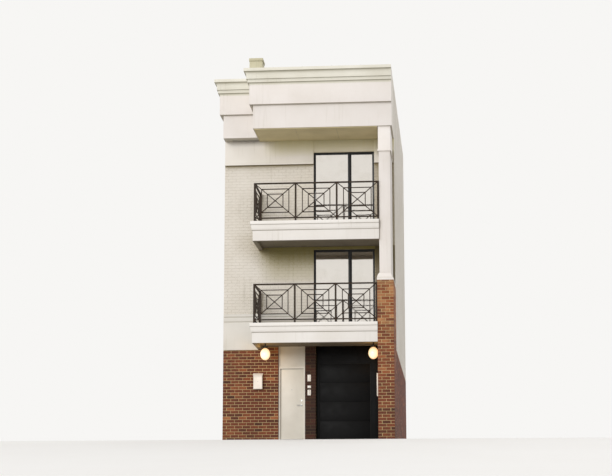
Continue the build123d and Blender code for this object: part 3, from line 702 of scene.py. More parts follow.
def add_block(shape, x, y, z):
    """Adds a block between two values on each axis, and returns its corners."""
    low, high = Vector((x[0], y[0], z[0])), Vector((x[1], y[1], z[1]))
    place = Matrix.Translation((low + high) / 2) @ Matrix.Diagonal((*(high - low), 1))
    return bmesh.ops.create_cube(shape, size=1, matrix=place)["verts"]


def add_rod(shape, start, end, radius, segments=16):
    """Adds a round bar from one point to another."""
    start, end = Vector(start), Vector(end)
    turn = (end - start).to_track_quat("Z", "Y").to_matrix().to_4x4()
    place = Matrix.Translation((start + end) / 2) @ turn
    bmesh.ops.create_cone(
        shape, cap_ends=True, segments=segments, radius1=radius, radius2=radius,
        depth=(end - start).length, matrix=place,
    )


def blocks(name, spans, look, arris=0.0):
    """Several blocks as one piece, each between two values on X, Y and Z."""
    shape = bmesh.new()
    for x, y, z in spans:
        add_block(shape, x, y, z)
    if arris:
        eased(shape, shape.edges[:], arris)
    piece(name, shape, look)


def rods(name, spans, look, arris=0.0, segments=16, body="house"):
    """Several round bars as one piece, each from a point to a point with a radius."""
    shape = bmesh.new()
    for start, end, radius in spans:
        add_rod(shape, start, end, radius, segments)
    if arris:
        eased(shape, rims(shape, 60), arris)
    smooth(piece(name, shape, look, body))


# Brickwork. A wall is one face of it: bricks run along an axis, and face out from a plane. A
# corner is the levels at which another wall's bricks meet this one's at that end. A lintel is a
# row of upright bricks, given as the rectangle that it fills.
Wall = namedtuple(
    "Wall", "axis plane out span levels corners holes lintels", defaults=((None, None), (), ())
)


def minus(area, hole):
    """What is left of an upright rectangle beside, under and over a hole in it."""
    a0, a1, z0, z1 = area
    h0, h1, y0, y1 = hole
    if h0 >= a1 or h1 <= a0 or y0 >= z1 or y1 <= z0:
        return [area]
    across = (max(a0, h0), min(a1, h1))
    parts = [(a0, h0, z0, z1), (h1, a1, z0, z1), (*across, z0, y0), (*across, y1, z1)]
    return [p for p in parts if p[1] - p[0] > LEAST_BRICK and p[3] - p[2] > LEAST_BRICK]


def row_of_bricks(start, step, count):
    """The ends of bricks in a row, with a joint after each."""
    return [(start + i * step, start + (i + 1) * step - JOINT) for i in range(count)]


def bricks_of_course(wall, number, low, high, proud):
    """Lower and upper ends of the bricks of one course in running bond. At a corner the two
    walls take turns to show the end of a whole brick. A brick that a hole would leave very
    short goes to its neighbour."""
    start, end = wall.span
    count = max(1, round((end - start + JOINT) / MODULE))
    step = (end - start + JOINT) / count
    owns = number % 2 == wall.axis
    reach = [proud if corner and owns else FLUSH for corner in wall.corners]
    cuts = []
    for side, corner in enumerate(wall.corners):
        if corner and not owns and corner[0] < high and corner[1] > low:
            gap = BRICK_WIDTH + JOINT
            near = (start - 1, start + gap) if side == 0 else (end - gap, end + 1)
            cuts.append((*near, low, high))
    cuts += [(h0 + FLUSH, h1 - FLUSH, y0 + FLUSH, y1 - FLUSH) for h0, h1, y0, y1 in wall.holes]
    cuts += [(h0 - JOINT, h1 + JOINT, y0 - JOINT, y1 + JOINT) for h0, h1, y0, y1 in wall.lintels]
    areas = [(start - reach[0], end + reach[1], low, high)]
    for cut in cuts:
        areas = [part for area in areas for part in minus(area, cut)]
    first = start if owns else start - step / 2
    bricks = []
    for a0, a1, z0, z1 in areas:
        row = [[max(a0, x0), min(a1, x1)] for x0, x1 in row_of_bricks(first, step, count + 2)]
        row = [ends for ends in row if ends[1] - ends[0] > SHORT_BRICK] or [[a0, a1]]
        row[0][0] = a0
        row[-1][1] = a1
        bricks += [(x0, x1, z0, z1) for x0, x1 in row]
    return bricks


def upright_bricks(a0, a1, low, high):
    """Bricks on end, side by side."""
    count = round((a1 - a0 + JOINT) / COURSE)
    return [(*ends, low, high) for ends in row_of_bricks(a0, (a1 - a0 + JOINT) / count, count)]


def courses(wall, proud):
    """The bricks of one wall, as lists that are laid one after another."""
    low, high = wall.levels
    number = int(low / COURSE)
    while number * COURSE + JOINT < high - LEAST_BRICK:
        bottom = max(low, number * COURSE + JOINT)
        top = min(high, (number + 1) * COURSE)
        if top - bottom > LEAST_BRICK:
            yield bricks_of_course(wall, number, bottom, top, proud)
        number += 1
    for lintel in wall.lintels:
        yield upright_bricks(*lintel)


def brickwork(name, walls, look, proud, tones):
    """Lays every brick of several walls, course by course, each with its own tone at its
    height, and eases the arrises that show."""
    whole = bmesh.new()
    whole.verts.layers.float.new("tone")
    for wall in walls:
        axis, plane, out = wall.axis, wall.plane, wall.out
        for bricks in courses(wall, proud):
            course = bmesh.new()
            tone = course.verts.layers.float.new("tone")
            for a, b, bottom, top in bricks:
                outer = plane + out * (proud + dice.uniform(-UNEVEN, UNEVEN))
                across = sorted((outer, plane - out * (BRICK_WIDTH - proud)))
                spans = ((a, b), across) if axis == 0 else (across, (a, b))
                brick_tone = tones((bottom + top) / 2)
                for corner in add_block(course, *spans, (bottom, top)):
                    corner[tone] = brick_tone
            ahead = {vert for vert in course.verts if (vert.co[1 - axis] - plane) * out > 0}
            shown = [edge for edge in course.edges if ahead.issuperset(edge.verts)]
            if shown:
                eased(course, shown, ARRIS)
            spare = bpy.data.meshes.new("course")
            course.to_mesh(spare)
            course.free()
            whole.from_mesh(spare)
            bpy.data.meshes.remove(spare)
    piece(name, whole, look)


def wall_tones(height):
    """Mostly mid reds, with some dark and a few pale bricks."""
    return min(0.92, max(0, dice.gauss(0.47, 0.17)))


def shaded_tones(height):
    """The bricks between the entry and the garage, darker as painted shade."""
    return max(0, dice.gauss(0.12, 0.12))


def pier_tones(height):
    """Orange-brown, paler towards the top."""
    up_share = height / pier_high.z
    return min(1, max(0, dice.gauss(0.32 + 0.66 * up_share, 0.18)))


def paint_tones(height):
    """Any tone, because paint shows each brick only faintly."""
    return dice.random()


return_end = solids("side_parapets")[0][0].y
whole_height = (0, parapet_high.z)
red_height = (0, band_low.z)
pale_height = (band_low.z, parapet_high.z)
band_to_frieze = (band_high.z, frieze_low.z)
pier_height = (0, pier_high.z)
porch_height = (0, porch_ceiling)
rear_windows = [(low.x, high.x, low.z, high.z) for low, high in solids("rear_window_frames")]
rear_lintels = [
    (x0 - LINTEL_EAR, x1 + LINTEL_EAR, head, head + BRICK_LENGTH)
    for x0, x1, _, head in rear_windows
]
red_walls = {
    "front_brickwork": Wall(0, facade, -1, (left, entry_low.x), porch_height, (red_height, None)),
    "rear_brickwork": Wall(
        0, rear, 1, (left, right), (0, porch_soffit), (red_height, red_height), rear_windows,
        [lintel for lintel in rear_lintels if lintel[3] < porch_soffit],
    ),
    "left_brickwork": Wall(1, left, -1, (facade, rear), red_height, (red_height, red_height)),
    "right_brickwork": Wall(
        1, right, 1, (facade + MODULE, rear), red_height, (None, red_height)
    ),
}
for name, wall in red_walls.items():
    brickwork(name, [wall], fired, RED_PROUD, wall_tones)
# Between the doors the bricks are darker, as painted shade.
between_doors = Wall(0, facade, -1, (entry_high.x, garage_low.x), porch_height)
brickwork("between_doors_brickwork", [between_doors], painted_shade, RED_PROUD, shaded_tones)
slab_on_pier = [
    (front_plane + BRICK_WIDTH + JOINT, front_plane + RIM, porch_soffit, lower_balcony_high.z),
    (front_plane + RIM, facade, porch_ceiling, lower_balcony_high.z),
]
pier_left, pier_ends = pier_low.x, (pier_height, None)
pier_walls = [
    Wall(0, front_plane, -1, (pier_left, right), pier_height, (pier_height, pier_height)),
    Wall(1, pier_left, -1, (front_plane, facade), pier_height, pier_ends, slab_on_pier),
    Wall(1, pier_left, -1, (facade, garage_low.y), porch_height),
    Wall(1, right, 1, (front_plane, facade + MODULE - JOINT), pier_height, pier_ends),
]
brickwork("pier_brickwork", pier_walls, fired, RED_PROUD, pier_tones)

first_deck, second_deck = lower_balcony_high.z, upper_balcony_high.z
door_height = upper_door_high.z - second_deck
front_holes = [
    (upper_door_low.x, upper_door_high.x, first_deck - LEDGE, first_deck + door_height),
    (upper_door_low.x, upper_door_high.x, second_deck - LEDGE, upper_door_high.z),
    (upper_balcony_low.x + LEDGE, right, upper_balcony_ceiling, second_deck),
    (shaft_low.x, shaft_high.x, 0, roof_soffit),
]
both_corners = (whole_height, whole_height)
side_corners = (band_to_frieze, whole_height)
beside_door = (upper_door_high.x, pier_left)
return_hole = (facade - 1, return_end, frieze_high.z, coping_high.z)
pier_hole = (facade - 1, facade + MODULE, 0, pier_high.z)
painted_walls = {
    "front_painted_brickwork": [
        Wall(0, facade, -1, (left, right), band_to_frieze, both_corners, front_holes),
        Wall(0, facade, -1, beside_door, (first_deck, band_high.z), holes=front_holes),
    ],
    "rear_painted_brickwork": [
        Wall(
            0, rear, 1, (left, right), (porch_soffit, parapet_high.z), both_corners, rear_windows,
            [lintel for lintel in rear_lintels if lintel[3] > porch_soffit],
        ),
    ],
    "left_painted_brickwork": [
        Wall(1, left, -1, (facade, rear), pale_height, side_corners, [return_hole]),
    ],
    "right_painted_brickwork": [
        Wall(1, right, 1, (facade, rear), pale_height, side_corners, [pier_hole]),
    ],
}
for name, walls in painted_walls.items():
    brickwork(name, walls, painted, PAINTED_PROUD, paint_tones)

# Nodes that get rounded arrises
for node_name, width in (
    ("pier_cap", 0.005), ("pier_shaft", 0.006), ("balcony_first", 0.006),
    ("balcony_second", 0.006), ("wall_band", 0.005), ("frieze", 0.005),
    ("front_parapet", 0.006), ("cornice", 0.006), ("parapet_coping", 0.008),
    ("chimney_stack", 0.008), ("chimney_cap", 0.008), ("rear_window_sills", 0.004),
    ("rear_window_frames", 0.002), ("sliding_door_frame_first", 0.002),
    ("sliding_door_frame_second", 0.002), ("garage_surround", 0.002), ("garage_door", 0.002),
    ("letterbox", 0.003), ("wall_plates", 0.003), ("garage_board", 0.003),
    ("over_door_panel", 0.002), ("entry_door", 0.003), ("lamp_fittings", 0.002),
    ("entry_door_handle", 0.0008),
):
    softened(node_name, width)

# Ceilings of the balconies and under the roof
BOARD = 0.009
BOARD_LENGTH = 1.2
BOARD_GAP = 0.006
EDGE_BEAD = 0.022
CEILING_MARGIN = 0.030
FRIEZE_MARGIN = 0.045


def boarded_ceiling(name, x, y, level, look):
    """Boards side by side under a slab, with a bead round the edge."""
    count = math.ceil((x[1] - x[0]) / BOARD_LENGTH)
    step = (x[1] - x[0]) / count
    sheets = [(cell(x[0], step, i, BOARD_GAP), y, (level - BOARD, level)) for i in range(count)]
    blocks(f"{name}_boards", sheets, look, arris=0.0015)
    inner_x = (x[0] + EDGE_BEAD, x[1] - EDGE_BEAD)
    inner_y = (y[0] + EDGE_BEAD, y[1] - EDGE_BEAD)
    bead = collar(inner_x, inner_y, (level - EDGE_BEAD, level - BOARD), EDGE_BEAD)
    blocks(f"{name}_bead", bead, look, arris=0.004)


for storey in storeys:
    low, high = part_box(f"balcony_{storey}")
    span_x = (low.x + LEDGE + RIM, high.x)
    span_y = (low.y + LEDGE + RIM, facade)
    boarded_ceiling(f"balcony_{storey}_ceiling", span_x, span_y, low.z + rim_drop, balcony_boards)
span_x = (bay_left + CEILING_MARGIN, shaft_low.x)
span_y = (front_plane + CEILING_MARGIN, frieze_high.y - FRIEZE_MARGIN)
boarded_ceiling("roof_ceiling", span_x, span_y, roof_soffit, roof_boards)

# Lamps: a blown globe in each cup, rolled rings and three thumb screws. A ring is its height
# above the globe or the ceiling, its radius and its thickness.
CUP_RING = (0.003, 0.070, 0.009)
CEILING_RING = (-0.014, 0.058, 0.006)
STEM_RING = (0.052, 0.024, 0.008)
LAMP_NECK = 0.030
NECK_RADIUS = 0.066
SCREW_END = 0.078
SCREW_HEAD_END = 0.084
THUMB_SCREW_RADIUS = 0.003
THUMB_HEAD_RADIUS = 0.006
globe_boxes = solids("lamp_globes")


def lamp_globes():
    """Upright oval globes."""
    shape = bmesh.new()
    for low, high in globe_boxes:
        place = Matrix.Translation((low + high) / 2) @ Matrix.Diagonal((*((high - low) / 2), 1))
        bmesh.ops.create_uvsphere(shape, u_segments=48, v_segments=32, radius=1, matrix=place)
    made = smooth(piece("lamp_globes_blown", shape, (globe_finish, "lamp_glass")), angle=80)
    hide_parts("lamp_globes")
    made.visible_shadow = False


def add_ring(shape, centre, radius, thickness):
    """Adds a round bar bent to a level ring."""
    middle = Matrix.Translation(Vector(centre) + Vector((radius, 0, 0)))
    upright = middle @ Matrix.Rotation(math.pi / 2, 4, "X")
    bar = bmesh.ops.create_circle(shape, segments=12, radius=thickness / 2, matrix=upright)
    edges = list({edge for vert in bar["verts"] for edge in vert.link_edges})
    bmesh.ops.spin(
        shape, geom=bar["verts"] + edges, cent=centre, axis=(0, 0, 1), angle=math.tau, steps=48,
        use_merge=True,
    )


def lamp_rings():
    """Rolled rims on the cups and on the ceiling roses, and a ring on each stem."""
    shape = bmesh.new()
    for low, high in globe_boxes:
        x, y = ((low + high) / 2).xy
        above = ((high.z, CUP_RING), (porch_ceiling, CEILING_RING), (high.z, STEM_RING))
        for level, (height, radius, thickness) in above:
            add_ring(shape, (x, y, level + height), radius, thickness)
    bmesh.ops.remove_doubles(shape, verts=shape.verts[:], dist=0.00001)
    bmesh.ops.recalc_face_normals(shape, faces=shape.faces[:])
    smooth(piece("lamp_rings", shape, lamp_metal), angle=80)


def lamp_screws():
    """Three thumb screws round each cup, which hold the globe's neck."""
    spans = []
    for low, high in globe_boxes:
        foot = Vector((*((low + high) / 2).xy, high.z + LAMP_NECK))
        for i in range(3):
            angle = i * math.tau / 3 + 0.5
            way = Vector((math.cos(angle), math.sin(angle), 0))
            shank_end, head_end = foot + way * SCREW_END, foot + way * SCREW_HEAD_END
            spans.append((foot + way * NECK_RADIUS, shank_end, THUMB_SCREW_RADIUS))
            spans.append((shank_end, head_end, THUMB_HEAD_RADIUS))
    rods("lamp_screws", spans, steel, arris=0.0006, segments=12)


lamp_globes()
lamp_rings()
lamp_screws()

# Railings: bolts and washers on the base plates
BOLT_SPREAD = 0.032
BOLT_RADIUS = 0.009
BOLT_HEIGHT = 0.007
WASHER_RADIUS = 0.0125
WASHER = 0.002


def post_places(storey):
    """The middles of a balcony's posts: along the front, then the one at the wall."""
    low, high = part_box(f"railing_{storey}_front")
    start = low.x + BASE_PLATE / 2
    step = (high.x - POST / 2 - start) / RAILING_BAYS
    y = (low.y + high.y) / 2
    along = [(start + i * step, y) for i in range(RAILING_BAYS + 1)]
    return along + [(start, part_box(f"railing_{storey}_side")[1].y - POST / 2)]


def railing_bolts(storey):
    """Four bolts to a base plate, but for those that would stand in a wall."""
    low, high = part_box(f"railing_{storey}_front")
    wall_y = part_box(f"railing_{storey}_side")[1].y
    corners = [(x, y) for x in (-BOLT_SPREAD, BOLT_SPREAD) for y in (-BOLT_SPREAD, BOLT_SPREAD)]
    shape = bmesh.new()
    for x, y in post_places(storey):
        for across, along in corners:
            bolt = Vector((x + across, y + along, low.z + BASE_PLATE_THICKNESS))
            if bolt.x <= high.x - WASHER_RADIUS and bolt.y <= wall_y - WASHER_RADIUS:
                washer = disc(bolt, WASHER, WASHER_RADIUS)
                add_rod(shape, *washer, 16)
                add_rod(shape, *disc(washer[1], BOLT_HEIGHT, BOLT_RADIUS), 6)
    eased(shape, rims(shape, 80), width=0.0006)
    smooth(piece(f"railing_{storey}_bolts", shape, railing_steel), angle=35)


for storey in storeys:
    railing_bolts(storey)
    for side in ("front", "side"):
        softened(f"railing_{storey}_{side}", width=0.0015, segments=1)

# Balcony decks: tiles behind the railing, with a metal edge strip and a floor drain
TILE = 0.300
TILE_JOINT = 0.004
TILE_THICKNESS = 0.005
TILE_MARGIN = 0.108
WALL_MARGIN = 0.055
EDGE_STRIP = 0.004
EDGE_STRIP_PROUD = 0.001
DRAIN_COVER = (0.002, 0.055)
DRAIN_SLOT = 0.005
DRAIN_SLOT_LIFT = 0.0005
DRAIN_PITCH = 0.013


def deck_tiles(storey):
    """Square tiles, each with a tone of its own, and what edges and drains them."""
    low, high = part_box(f"balcony_{storey}")
    x = (low.x + LEDGE + TILE_MARGIN, high.x - TILE_JOINT)
    y = (low.y + LEDGE + TILE_MARGIN, facade - WALL_MARGIN)
    count_x, count_y = (round((ends[1] - ends[0]) / TILE) for ends in (x, y))
    step_x, step_y = (x[1] - x[0]) / count_x, (y[1] - y[0]) / count_y
    top = high.z + TILE_THICKNESS
    shape = bmesh.new()
    tone = shape.verts.layers.float.new("tone")
    for i in range(count_x):
        for j in range(count_y):
            tile_x, tile_y = cell(x[0], step_x, i, TILE_JOINT), cell(y[0], step_y, j, TILE_JOINT)
            tile_tone = dice.random()
            for corner in add_block(shape, tile_x, tile_y, (high.z, top)):
                corner[tone] = tile_tone
    middle = high.z + TILE_THICKNESS / 2
    upper = [edge for edge in shape.edges if all(vert.co.z > middle for vert in edge.verts)]
    eased(shape, upper, width=0.001)
    piece(f"balcony_{storey}_tiles", shape, tiles)
    edge_x, edge_y = (x[0] - EDGE_STRIP, x[0]), (y[0] - EDGE_STRIP, y[0])
    z = (high.z, top + EDGE_STRIP_PROUD)
    strips = [(edge_x, (edge_y[0], y[1]), z), (x, edge_y, z)]
    blocks(f"balcony_{storey}_edge_strip", strips, steel)
    floor_drain(storey, Vector((x[0] + 0.5 * step_x, y[0] + 0.5 * step_y, top)))


def floor_drain(storey, centre):
    """A round steel cover with dark rubber strips across it, which stand for its slots as painted
    shade.
    """
    thickness, radius = DRAIN_COVER
    rods(f"balcony_{storey}_drain", [disc(centre, *DRAIN_COVER)], steel, arris=0.0006, segments=32)
    z = (centre.z + DRAIN_SLOT_LIFT, centre.z + DRAIN_SLOT_LIFT + thickness)
    slots = []
    for i in range(-3, 4):
        reach = math.sqrt(radius**2 - (i * DRAIN_PITCH) ** 2) * 0.75
        across = around(centre.y + i * DRAIN_PITCH, DRAIN_SLOT)
        slots.append((around(centre.x, 2 * reach), across, z))
    # Dark strips where the slots are: painted shade.
    blocks(f"balcony_{storey}_drain_slots", slots, hole_shade_and_lens_rubber)


for storey in storeys:
    deck_tiles(storey)

# Glazing: gaskets round every pane, sealant round every frame and a pull on each sliding sash
GASKET = 0.007
GASKET_DEPTH = 0.004
SEALANT = 0.007
PULL_RADIUS = 0.006
PULL_FOOT_RADIUS = 0.0048
PULL_LENGTH = 0.300
PULL_STAND = 0.032
PULL_HEIGHT = 0.95
PULL_FOOT_INSET = 0.03
PULL_MARGIN = 0.006
SASH_FACE = 0.020


def rubber_round(node, name, width, depth, arris, faces=(-1, 1)):
    """A strip of rubber along each edge of each pane or frame, on the faces that look out
    along Y with these signs."""
    strips = []
    for low, high in solids(node):
        for out in faces:
            y = layer(low.y if out < 0 else high.y, out, depth)
            strips += border((low.x, high.x), y, (low.z, high.z), width)
    blocks(name, strips, window_rubber, arris)


def sash_pull(storey):
    """A slim bar on two short feet, on the closing stile of the left sash."""
    low, high = solids(f"sliding_door_glass_{storey}")[0]
    x = low.x - PULL_RADIUS - PULL_MARGIN
    face = (low.y + high.y) / 2 - SASH_FACE
    y = face - PULL_STAND
    bottom, top = around(low.z + PULL_HEIGHT, PULL_LENGTH)
    spans = [((x, y, bottom), (x, y, top), PULL_RADIUS)]
    for z in (bottom + PULL_FOOT_INSET, top - PULL_FOOT_INSET):
        spans.append(stud(x, face, z, -1, PULL_STAND, PULL_FOOT_RADIUS))
    rods(f"sliding_door_{storey}_pull", spans, steel, arris=0.001)


gasket = (GASKET, GASKET_DEPTH, 0.001)
sealant = (SEALANT, SEALANT, 0.002)
for storey in storeys:
    rubber_round(f"sliding_door_glass_{storey}", f"sliding_door_{storey}_gaskets", *gasket)
    rubber_round(f"sliding_door_frame_{storey}", f"sliding_door_{storey}_sealant", *sealant, (-1,))
    sash_pull(storey)
rubber_round("rear_window_glass", "rear_window_gaskets", *gasket)
rubber_round("rear_window_frames", "rear_window_sealant", *sealant, (1,))

# Entry door: weather bar, lock and viewer on the leaf, and a threshold strip. A round part
# here, and on the letterbox and the plates, is how far it stands out and its radius.
LOCK_ROSE = (0.006, 0.024)
LOCK_CYLINDER = (0.010, 0.0095)
VIEWER = (0.004, 0.012)
VIEWER_LENS = (0.0045, 0.005)
KEY_SLOT_WIDTH = 0.0024
KEY_SLOT_HEIGHT = 0.010
KEY_SLOT_STAND = 0.0105
BAR_LEFT_MARGIN = 0.030
BAR_RIGHT_MARGIN = 0.037
BAR_FOOT = 0.012
BAR_TOP = 0.050
BAR_STAND = 0.024
BAR_FALL = 0.020
ROSE_INSET = 0.026
LOCK_ABOVE_HANDLE = 0.14
EYE_HEIGHT = 1.42
STRIP = 0.003
STRIP_DROP = 0.005
STRIP_MARGIN = 0.012
RIBS = 5
RIB_MARGIN = 0.008
RIB_WIDTH = 0.003
RIB_HEIGHT = 0.0015
RIB_PITCH = 0.009
leaf_low, leaf_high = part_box("entry_door")
handle_low, handle_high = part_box("entry_door_handle")
lock_x = handle_high.x - ROSE_INSET
lock_z = (handle_low.z + handle_high.z) / 2 + LOCK_ABOVE_HANDLE
eye_x = (leaf_low.x + leaf_high.x) / 2
eye_z = leaf_low.z + EYE_HEIGHT
leaf_faces = ((leaf_low.y, -1), (leaf_high.y, 1))


def weather_bar():
    """A timber drip across the foot of the leaf, sloping outward."""
    shape = bmesh.new()
    x = (leaf_low.x + BAR_LEFT_MARGIN, leaf_high.x - BAR_RIGHT_MARGIN)
    y = (leaf_low.y - BAR_STAND, leaf_low.y)
    z = (leaf_low.z + BAR_FOOT, leaf_low.z + BAR_TOP)
    for corner in add_block(shape, x, y, z):
        if corner.co.y < sum(y) / 2 and corner.co.z > sum(z) / 2:
            corner.co.z -= BAR_FALL
    eased(shape, shape.edges[:], width=0.003, segments=2)
    look = (door_finish, "door_paint")
    smooth(piece("entry_door_weather_bar", shape, look, "door"))


def door_lock():
    """A round lock plate with its cylinder on both faces, and a viewer at eye height."""
    spans = []
    for face, out in leaf_faces:
        spans.append(stud(lock_x, face, lock_z, out, *LOCK_ROSE))
        spans.append(stud(lock_x, face, lock_z, out, *LOCK_CYLINDER))
        spans.append(stud(eye_x, face, eye_z, out, *VIEWER))
    rods("entry_door_lock", spans, steel, arris=0.0008, segments=24, body="door")


def key_slots():
    """Dark rubber in the lock's keyway, as painted shade in the slot, and the lens of the viewer.
    """
    shape = bmesh.new()
    for face, out in leaf_faces:
        y = layer(face, out, KEY_SLOT_STAND)
        add_block(shape, around(lock_x, KEY_SLOT_WIDTH), y, around(lock_z, KEY_SLOT_HEIGHT))
        add_rod(shape, *stud(eye_x, face, eye_z, out, *VIEWER_LENS))
    piece("entry_door_key_slots", shape, hole_shade_and_lens_rubber, "door")


def threshold_strip():
    """A metal strip on the step in front of the leaf, with ribs along it."""
    x = (leaf_low.x, leaf_high.x)
    bottom = leaf_low.z - STRIP_DROP
    top = bottom + STRIP
    strips = [(x, (entry_low.y, leaf_low.y - STRIP_MARGIN), (bottom, top))]
    for rib in range(RIBS):
        y = entry_low.y + RIB_MARGIN + rib * RIB_PITCH
        strips.append((x, (y, y + RIB_WIDTH), (bottom, top + RIB_HEIGHT)))
    blocks("entry_threshold_strip", strips, steel, arris=0.0004)


weather_bar()
door_lock()
key_slots()
threshold_strip()

# Letterbox: flap over the slot, hinge rod, access door with its lock
LID = 0.014
FLAP_WIDTH = 0.205
FLAP_HEIGHT = 0.042
FLAP_TOP = 0.350
PANEL_MARGIN = 0.016
PANEL_GAP = 0.03
SHEET = 0.002
HINGE_LIFT = 0.001
HINGE_OVERHANG = 0.004
HINGE_RADIUS = 0.003
BOX_LOCK_HEIGHT = 0.215
BOX_LOCK_RING = (0.006, 0.010)
BOX_LOCK_CORE = (0.008, 0.006)
box_low, box_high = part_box("letterbox")


def letterbox_details():
    """What the front of the box carries."""
    front = box_low.y + LID
    middle = (box_low.x + box_high.x) / 2
    flap_x = around(middle, FLAP_WIDTH)
    flap_y = (front - HINGE_RADIUS, front - HINGE_RADIUS + SHEET)
    flap_top = box_low.z + FLAP_TOP
    flap_foot = flap_top - FLAP_HEIGHT
    panel_x = (box_low.x + LID + PANEL_MARGIN, box_high.x - LID - PANEL_MARGIN)
    spans = [
        (flap_x, flap_y, (flap_foot, flap_top)),
        (panel_x, (front - SHEET, front), (box_low.z + PANEL_MARGIN, flap_foot - PANEL_GAP)),
    ]
    blocks("letterbox_flap_and_door", spans, (white_metal_finish, "white_metal"), arris=0.0009)
    hinge_ends = (flap_x[0] - HINGE_OVERHANG, flap_x[1] + HINGE_OVERHANG)
    hinge = [(x, front - HINGE_RADIUS, flap_top + HINGE_LIFT) for x in hinge_ends]
    spans = [
        (*hinge, HINGE_RADIUS),
        stud(middle, front, box_low.z + BOX_LOCK_HEIGHT, -1, *BOX_LOCK_RING),
        stud(middle, front, box_low.z + BOX_LOCK_HEIGHT, -1, *BOX_LOCK_CORE),
    ]
    rods("letterbox_rod_and_lock", spans, steel, arris=0.0006, segments=20)


letterbox_details()

# Wall plates: screws, a bell push, and an intercom's grille and lens
SCREW = (0.0015, 0.0035)
SCREW_INSET = 0.009
BELL_RING = (0.002, 0.017)
BELL_PUSH = (0.006, 0.010)
CALL_BUTTON = (0.004, 0.009)
CALL_HEIGHT = 0.035
LENS = (0.003, 0.011)
LENS_DROP = 0.035
GRILLE_HOLE = (0.0008, 0.002)
GRILLE_HEIGHT = 0.062
GRILLE_PITCH = 0.007


def plate_details():
    """What the three plates carry, from the lowest up."""
    intercom, bell, number = sorted(solids("wall_plates"), key=lambda box: box[0].z)
    x = (number[0].x + number[1].x) / 2
    face = number[0].y
    bell_z = (bell[0].z + bell[1].z) / 2
    fixings = [
        stud(x, face, z, -1, *SCREW)
        for low, high in (intercom, bell, number)
        for z in (low.z + SCREW_INSET, high.z - SCREW_INSET)
    ]
    fixings.append(stud(x, face, bell_z, -1, *BELL_RING))
    fixings.append(stud(x, face, bell_z, -1, *BELL_PUSH))
    fixings.append(stud(x, face, intercom[0].z + CALL_HEIGHT, -1, *CALL_BUTTON))
    rods("wall_plate_fixings", fixings, steel, arris=0.0005, segments=20)
    # Dark dots where the grille's holes are: painted shade. The lens is dark as it is.
    dots = [stud(x, face, intercom[1].z - LENS_DROP, -1, *LENS)]
    for row in range(4):
        for column in range(-3, 4):
            z = intercom[0].z + GRILLE_HEIGHT + row * GRILLE_PITCH
            dots.append(stud(x + column * GRILLE_PITCH, face, z, -1, *GRILLE_HOLE))
    rods("intercom_grille_and_lens", dots, hole_shade_and_lens_rubber, segments=12)


plate_details()

# Garage: rubber seals along the foot, the sides and the head of the leaf
SEAL = 0.012
SEAL_DEPTH = 0.006
FOOT_SEAL = 0.025
low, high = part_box("garage_door")
seal_y = (low.y - SEAL_DEPTH, low.y)
side_z = (low.z + FOOT_SEAL, high.z)
seals = [
    ((low.x, high.x), seal_y, (low.z, low.z + FOOT_SEAL)),
    ((low.x, low.x + SEAL), seal_y, side_z),
    ((high.x - SEAL, high.x), seal_y, side_z),
    ((low.x, high.x), seal_y, (high.z - SEAL, high.z)),
]
blocks("garage_seals", seals, garage_rubber, arris=0.002)

# Roof: felt in lapped sheets, turned up at the parapets under a lead cover
FELT = 0.004
LAP = 0.090
UPSTAND = 0.150
UPSTAND_DEPTH = 0.009
COVER = 0.045
COVER_DEPTH = 0.013
FLASHING = 0.004
SHEETS_IN_BAY = 4
OUTLET_INSET = 0.40
OUTLET_FLANGE = (0.003, 0.160)
OUTLET_COLLAR = (0.012, 0.095)
DOME_RADIUS = 0.085
DOME_LIFT = 0.010
DOME_WIRE = 0.005
LINER_BORE = 0.144
LINER_WALL = 0.017
LINER_LENGTH = 0.6
LINER_PROUD = 0.006
upstand_z = (roof_top, roof_top + UPSTAND)
recess_inner = recess_plane + PARAPET
bay_inner_left = bay_left + PARAPET
bay_inner_front = front_plane + PARAPET


def roof_sheets():
    """Sheets from front to back. Every other one lies over both its neighbours."""
    pitch = (right_inner - bay_inner_left) / SHEETS_IN_BAY
    starts = [(left_inner, bay_inner_left + LAP, recess_inner)]
    for i in range(SHEETS_IN_BAY):
        x0 = bay_inner_left + i * pitch
        starts.append((x0, min(x0 + pitch + LAP, right_inner), bay_inner_front))
    spans = []
    for i, (x0, x1, front) in enumerate(starts):
        spans.append(((x0, x1), (front, rear_inner), (roof_top, roof_top + FELT * (1 + i % 2))))
    blocks("roof_felt", spans, felt, arris=0.0015)


def along_parapets(depth, z):
    """Strips of one depth along the inner faces of the parapets."""
    strips = []
    for axis, plane, out, start, end in (
        (1, left_inner, 1, recess_inner, rear_inner),
        (0, rear_inner, -1, left_inner, right_inner),
        (1, right_inner, -1, bay_inner_front, rear_inner),
        (0, bay_inner_front, 1, bay_inner_left, right_inner),
        (1, bay_inner_left, 1, bay_inner_front, recess_inner),
        (0, recess_inner, 1, left_inner, bay_inner_left),
    ):
        across = layer(plane, out, depth)
        strips.append(((start, end), across, z) if axis == 0 else (across, (start, end), z))
    return strips


def chimney_flashing():
    """Lead dressed up the stack and out over the roof."""
    low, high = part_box("chimney_stack")
    x, y = (low.x, high.x), (low.y, high.y)
    turned_up = collar(x, y, upstand_z, FLASHING)
    felt_top = roof_top + FELT * 2
    flange = collar(x, y, (felt_top, felt_top + FLASHING), UPSTAND)
    blocks("chimney_flashing", turned_up + flange, lead, arris=0.001)


def flue_liner():
    """A clay liner just inside the mouth of the flue."""
    low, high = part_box("chimney_cap")
    x, y = (around(middle, LINER_BORE) for middle in ((low + high) / 2).xy)
    walls = collar(x, y, (high.z - LINER_LENGTH, high.z + LINER_PROUD), LINER_WALL)
    blocks("flue_liner", walls, (fired_liner(), "chimney_render"), arris=0.002)


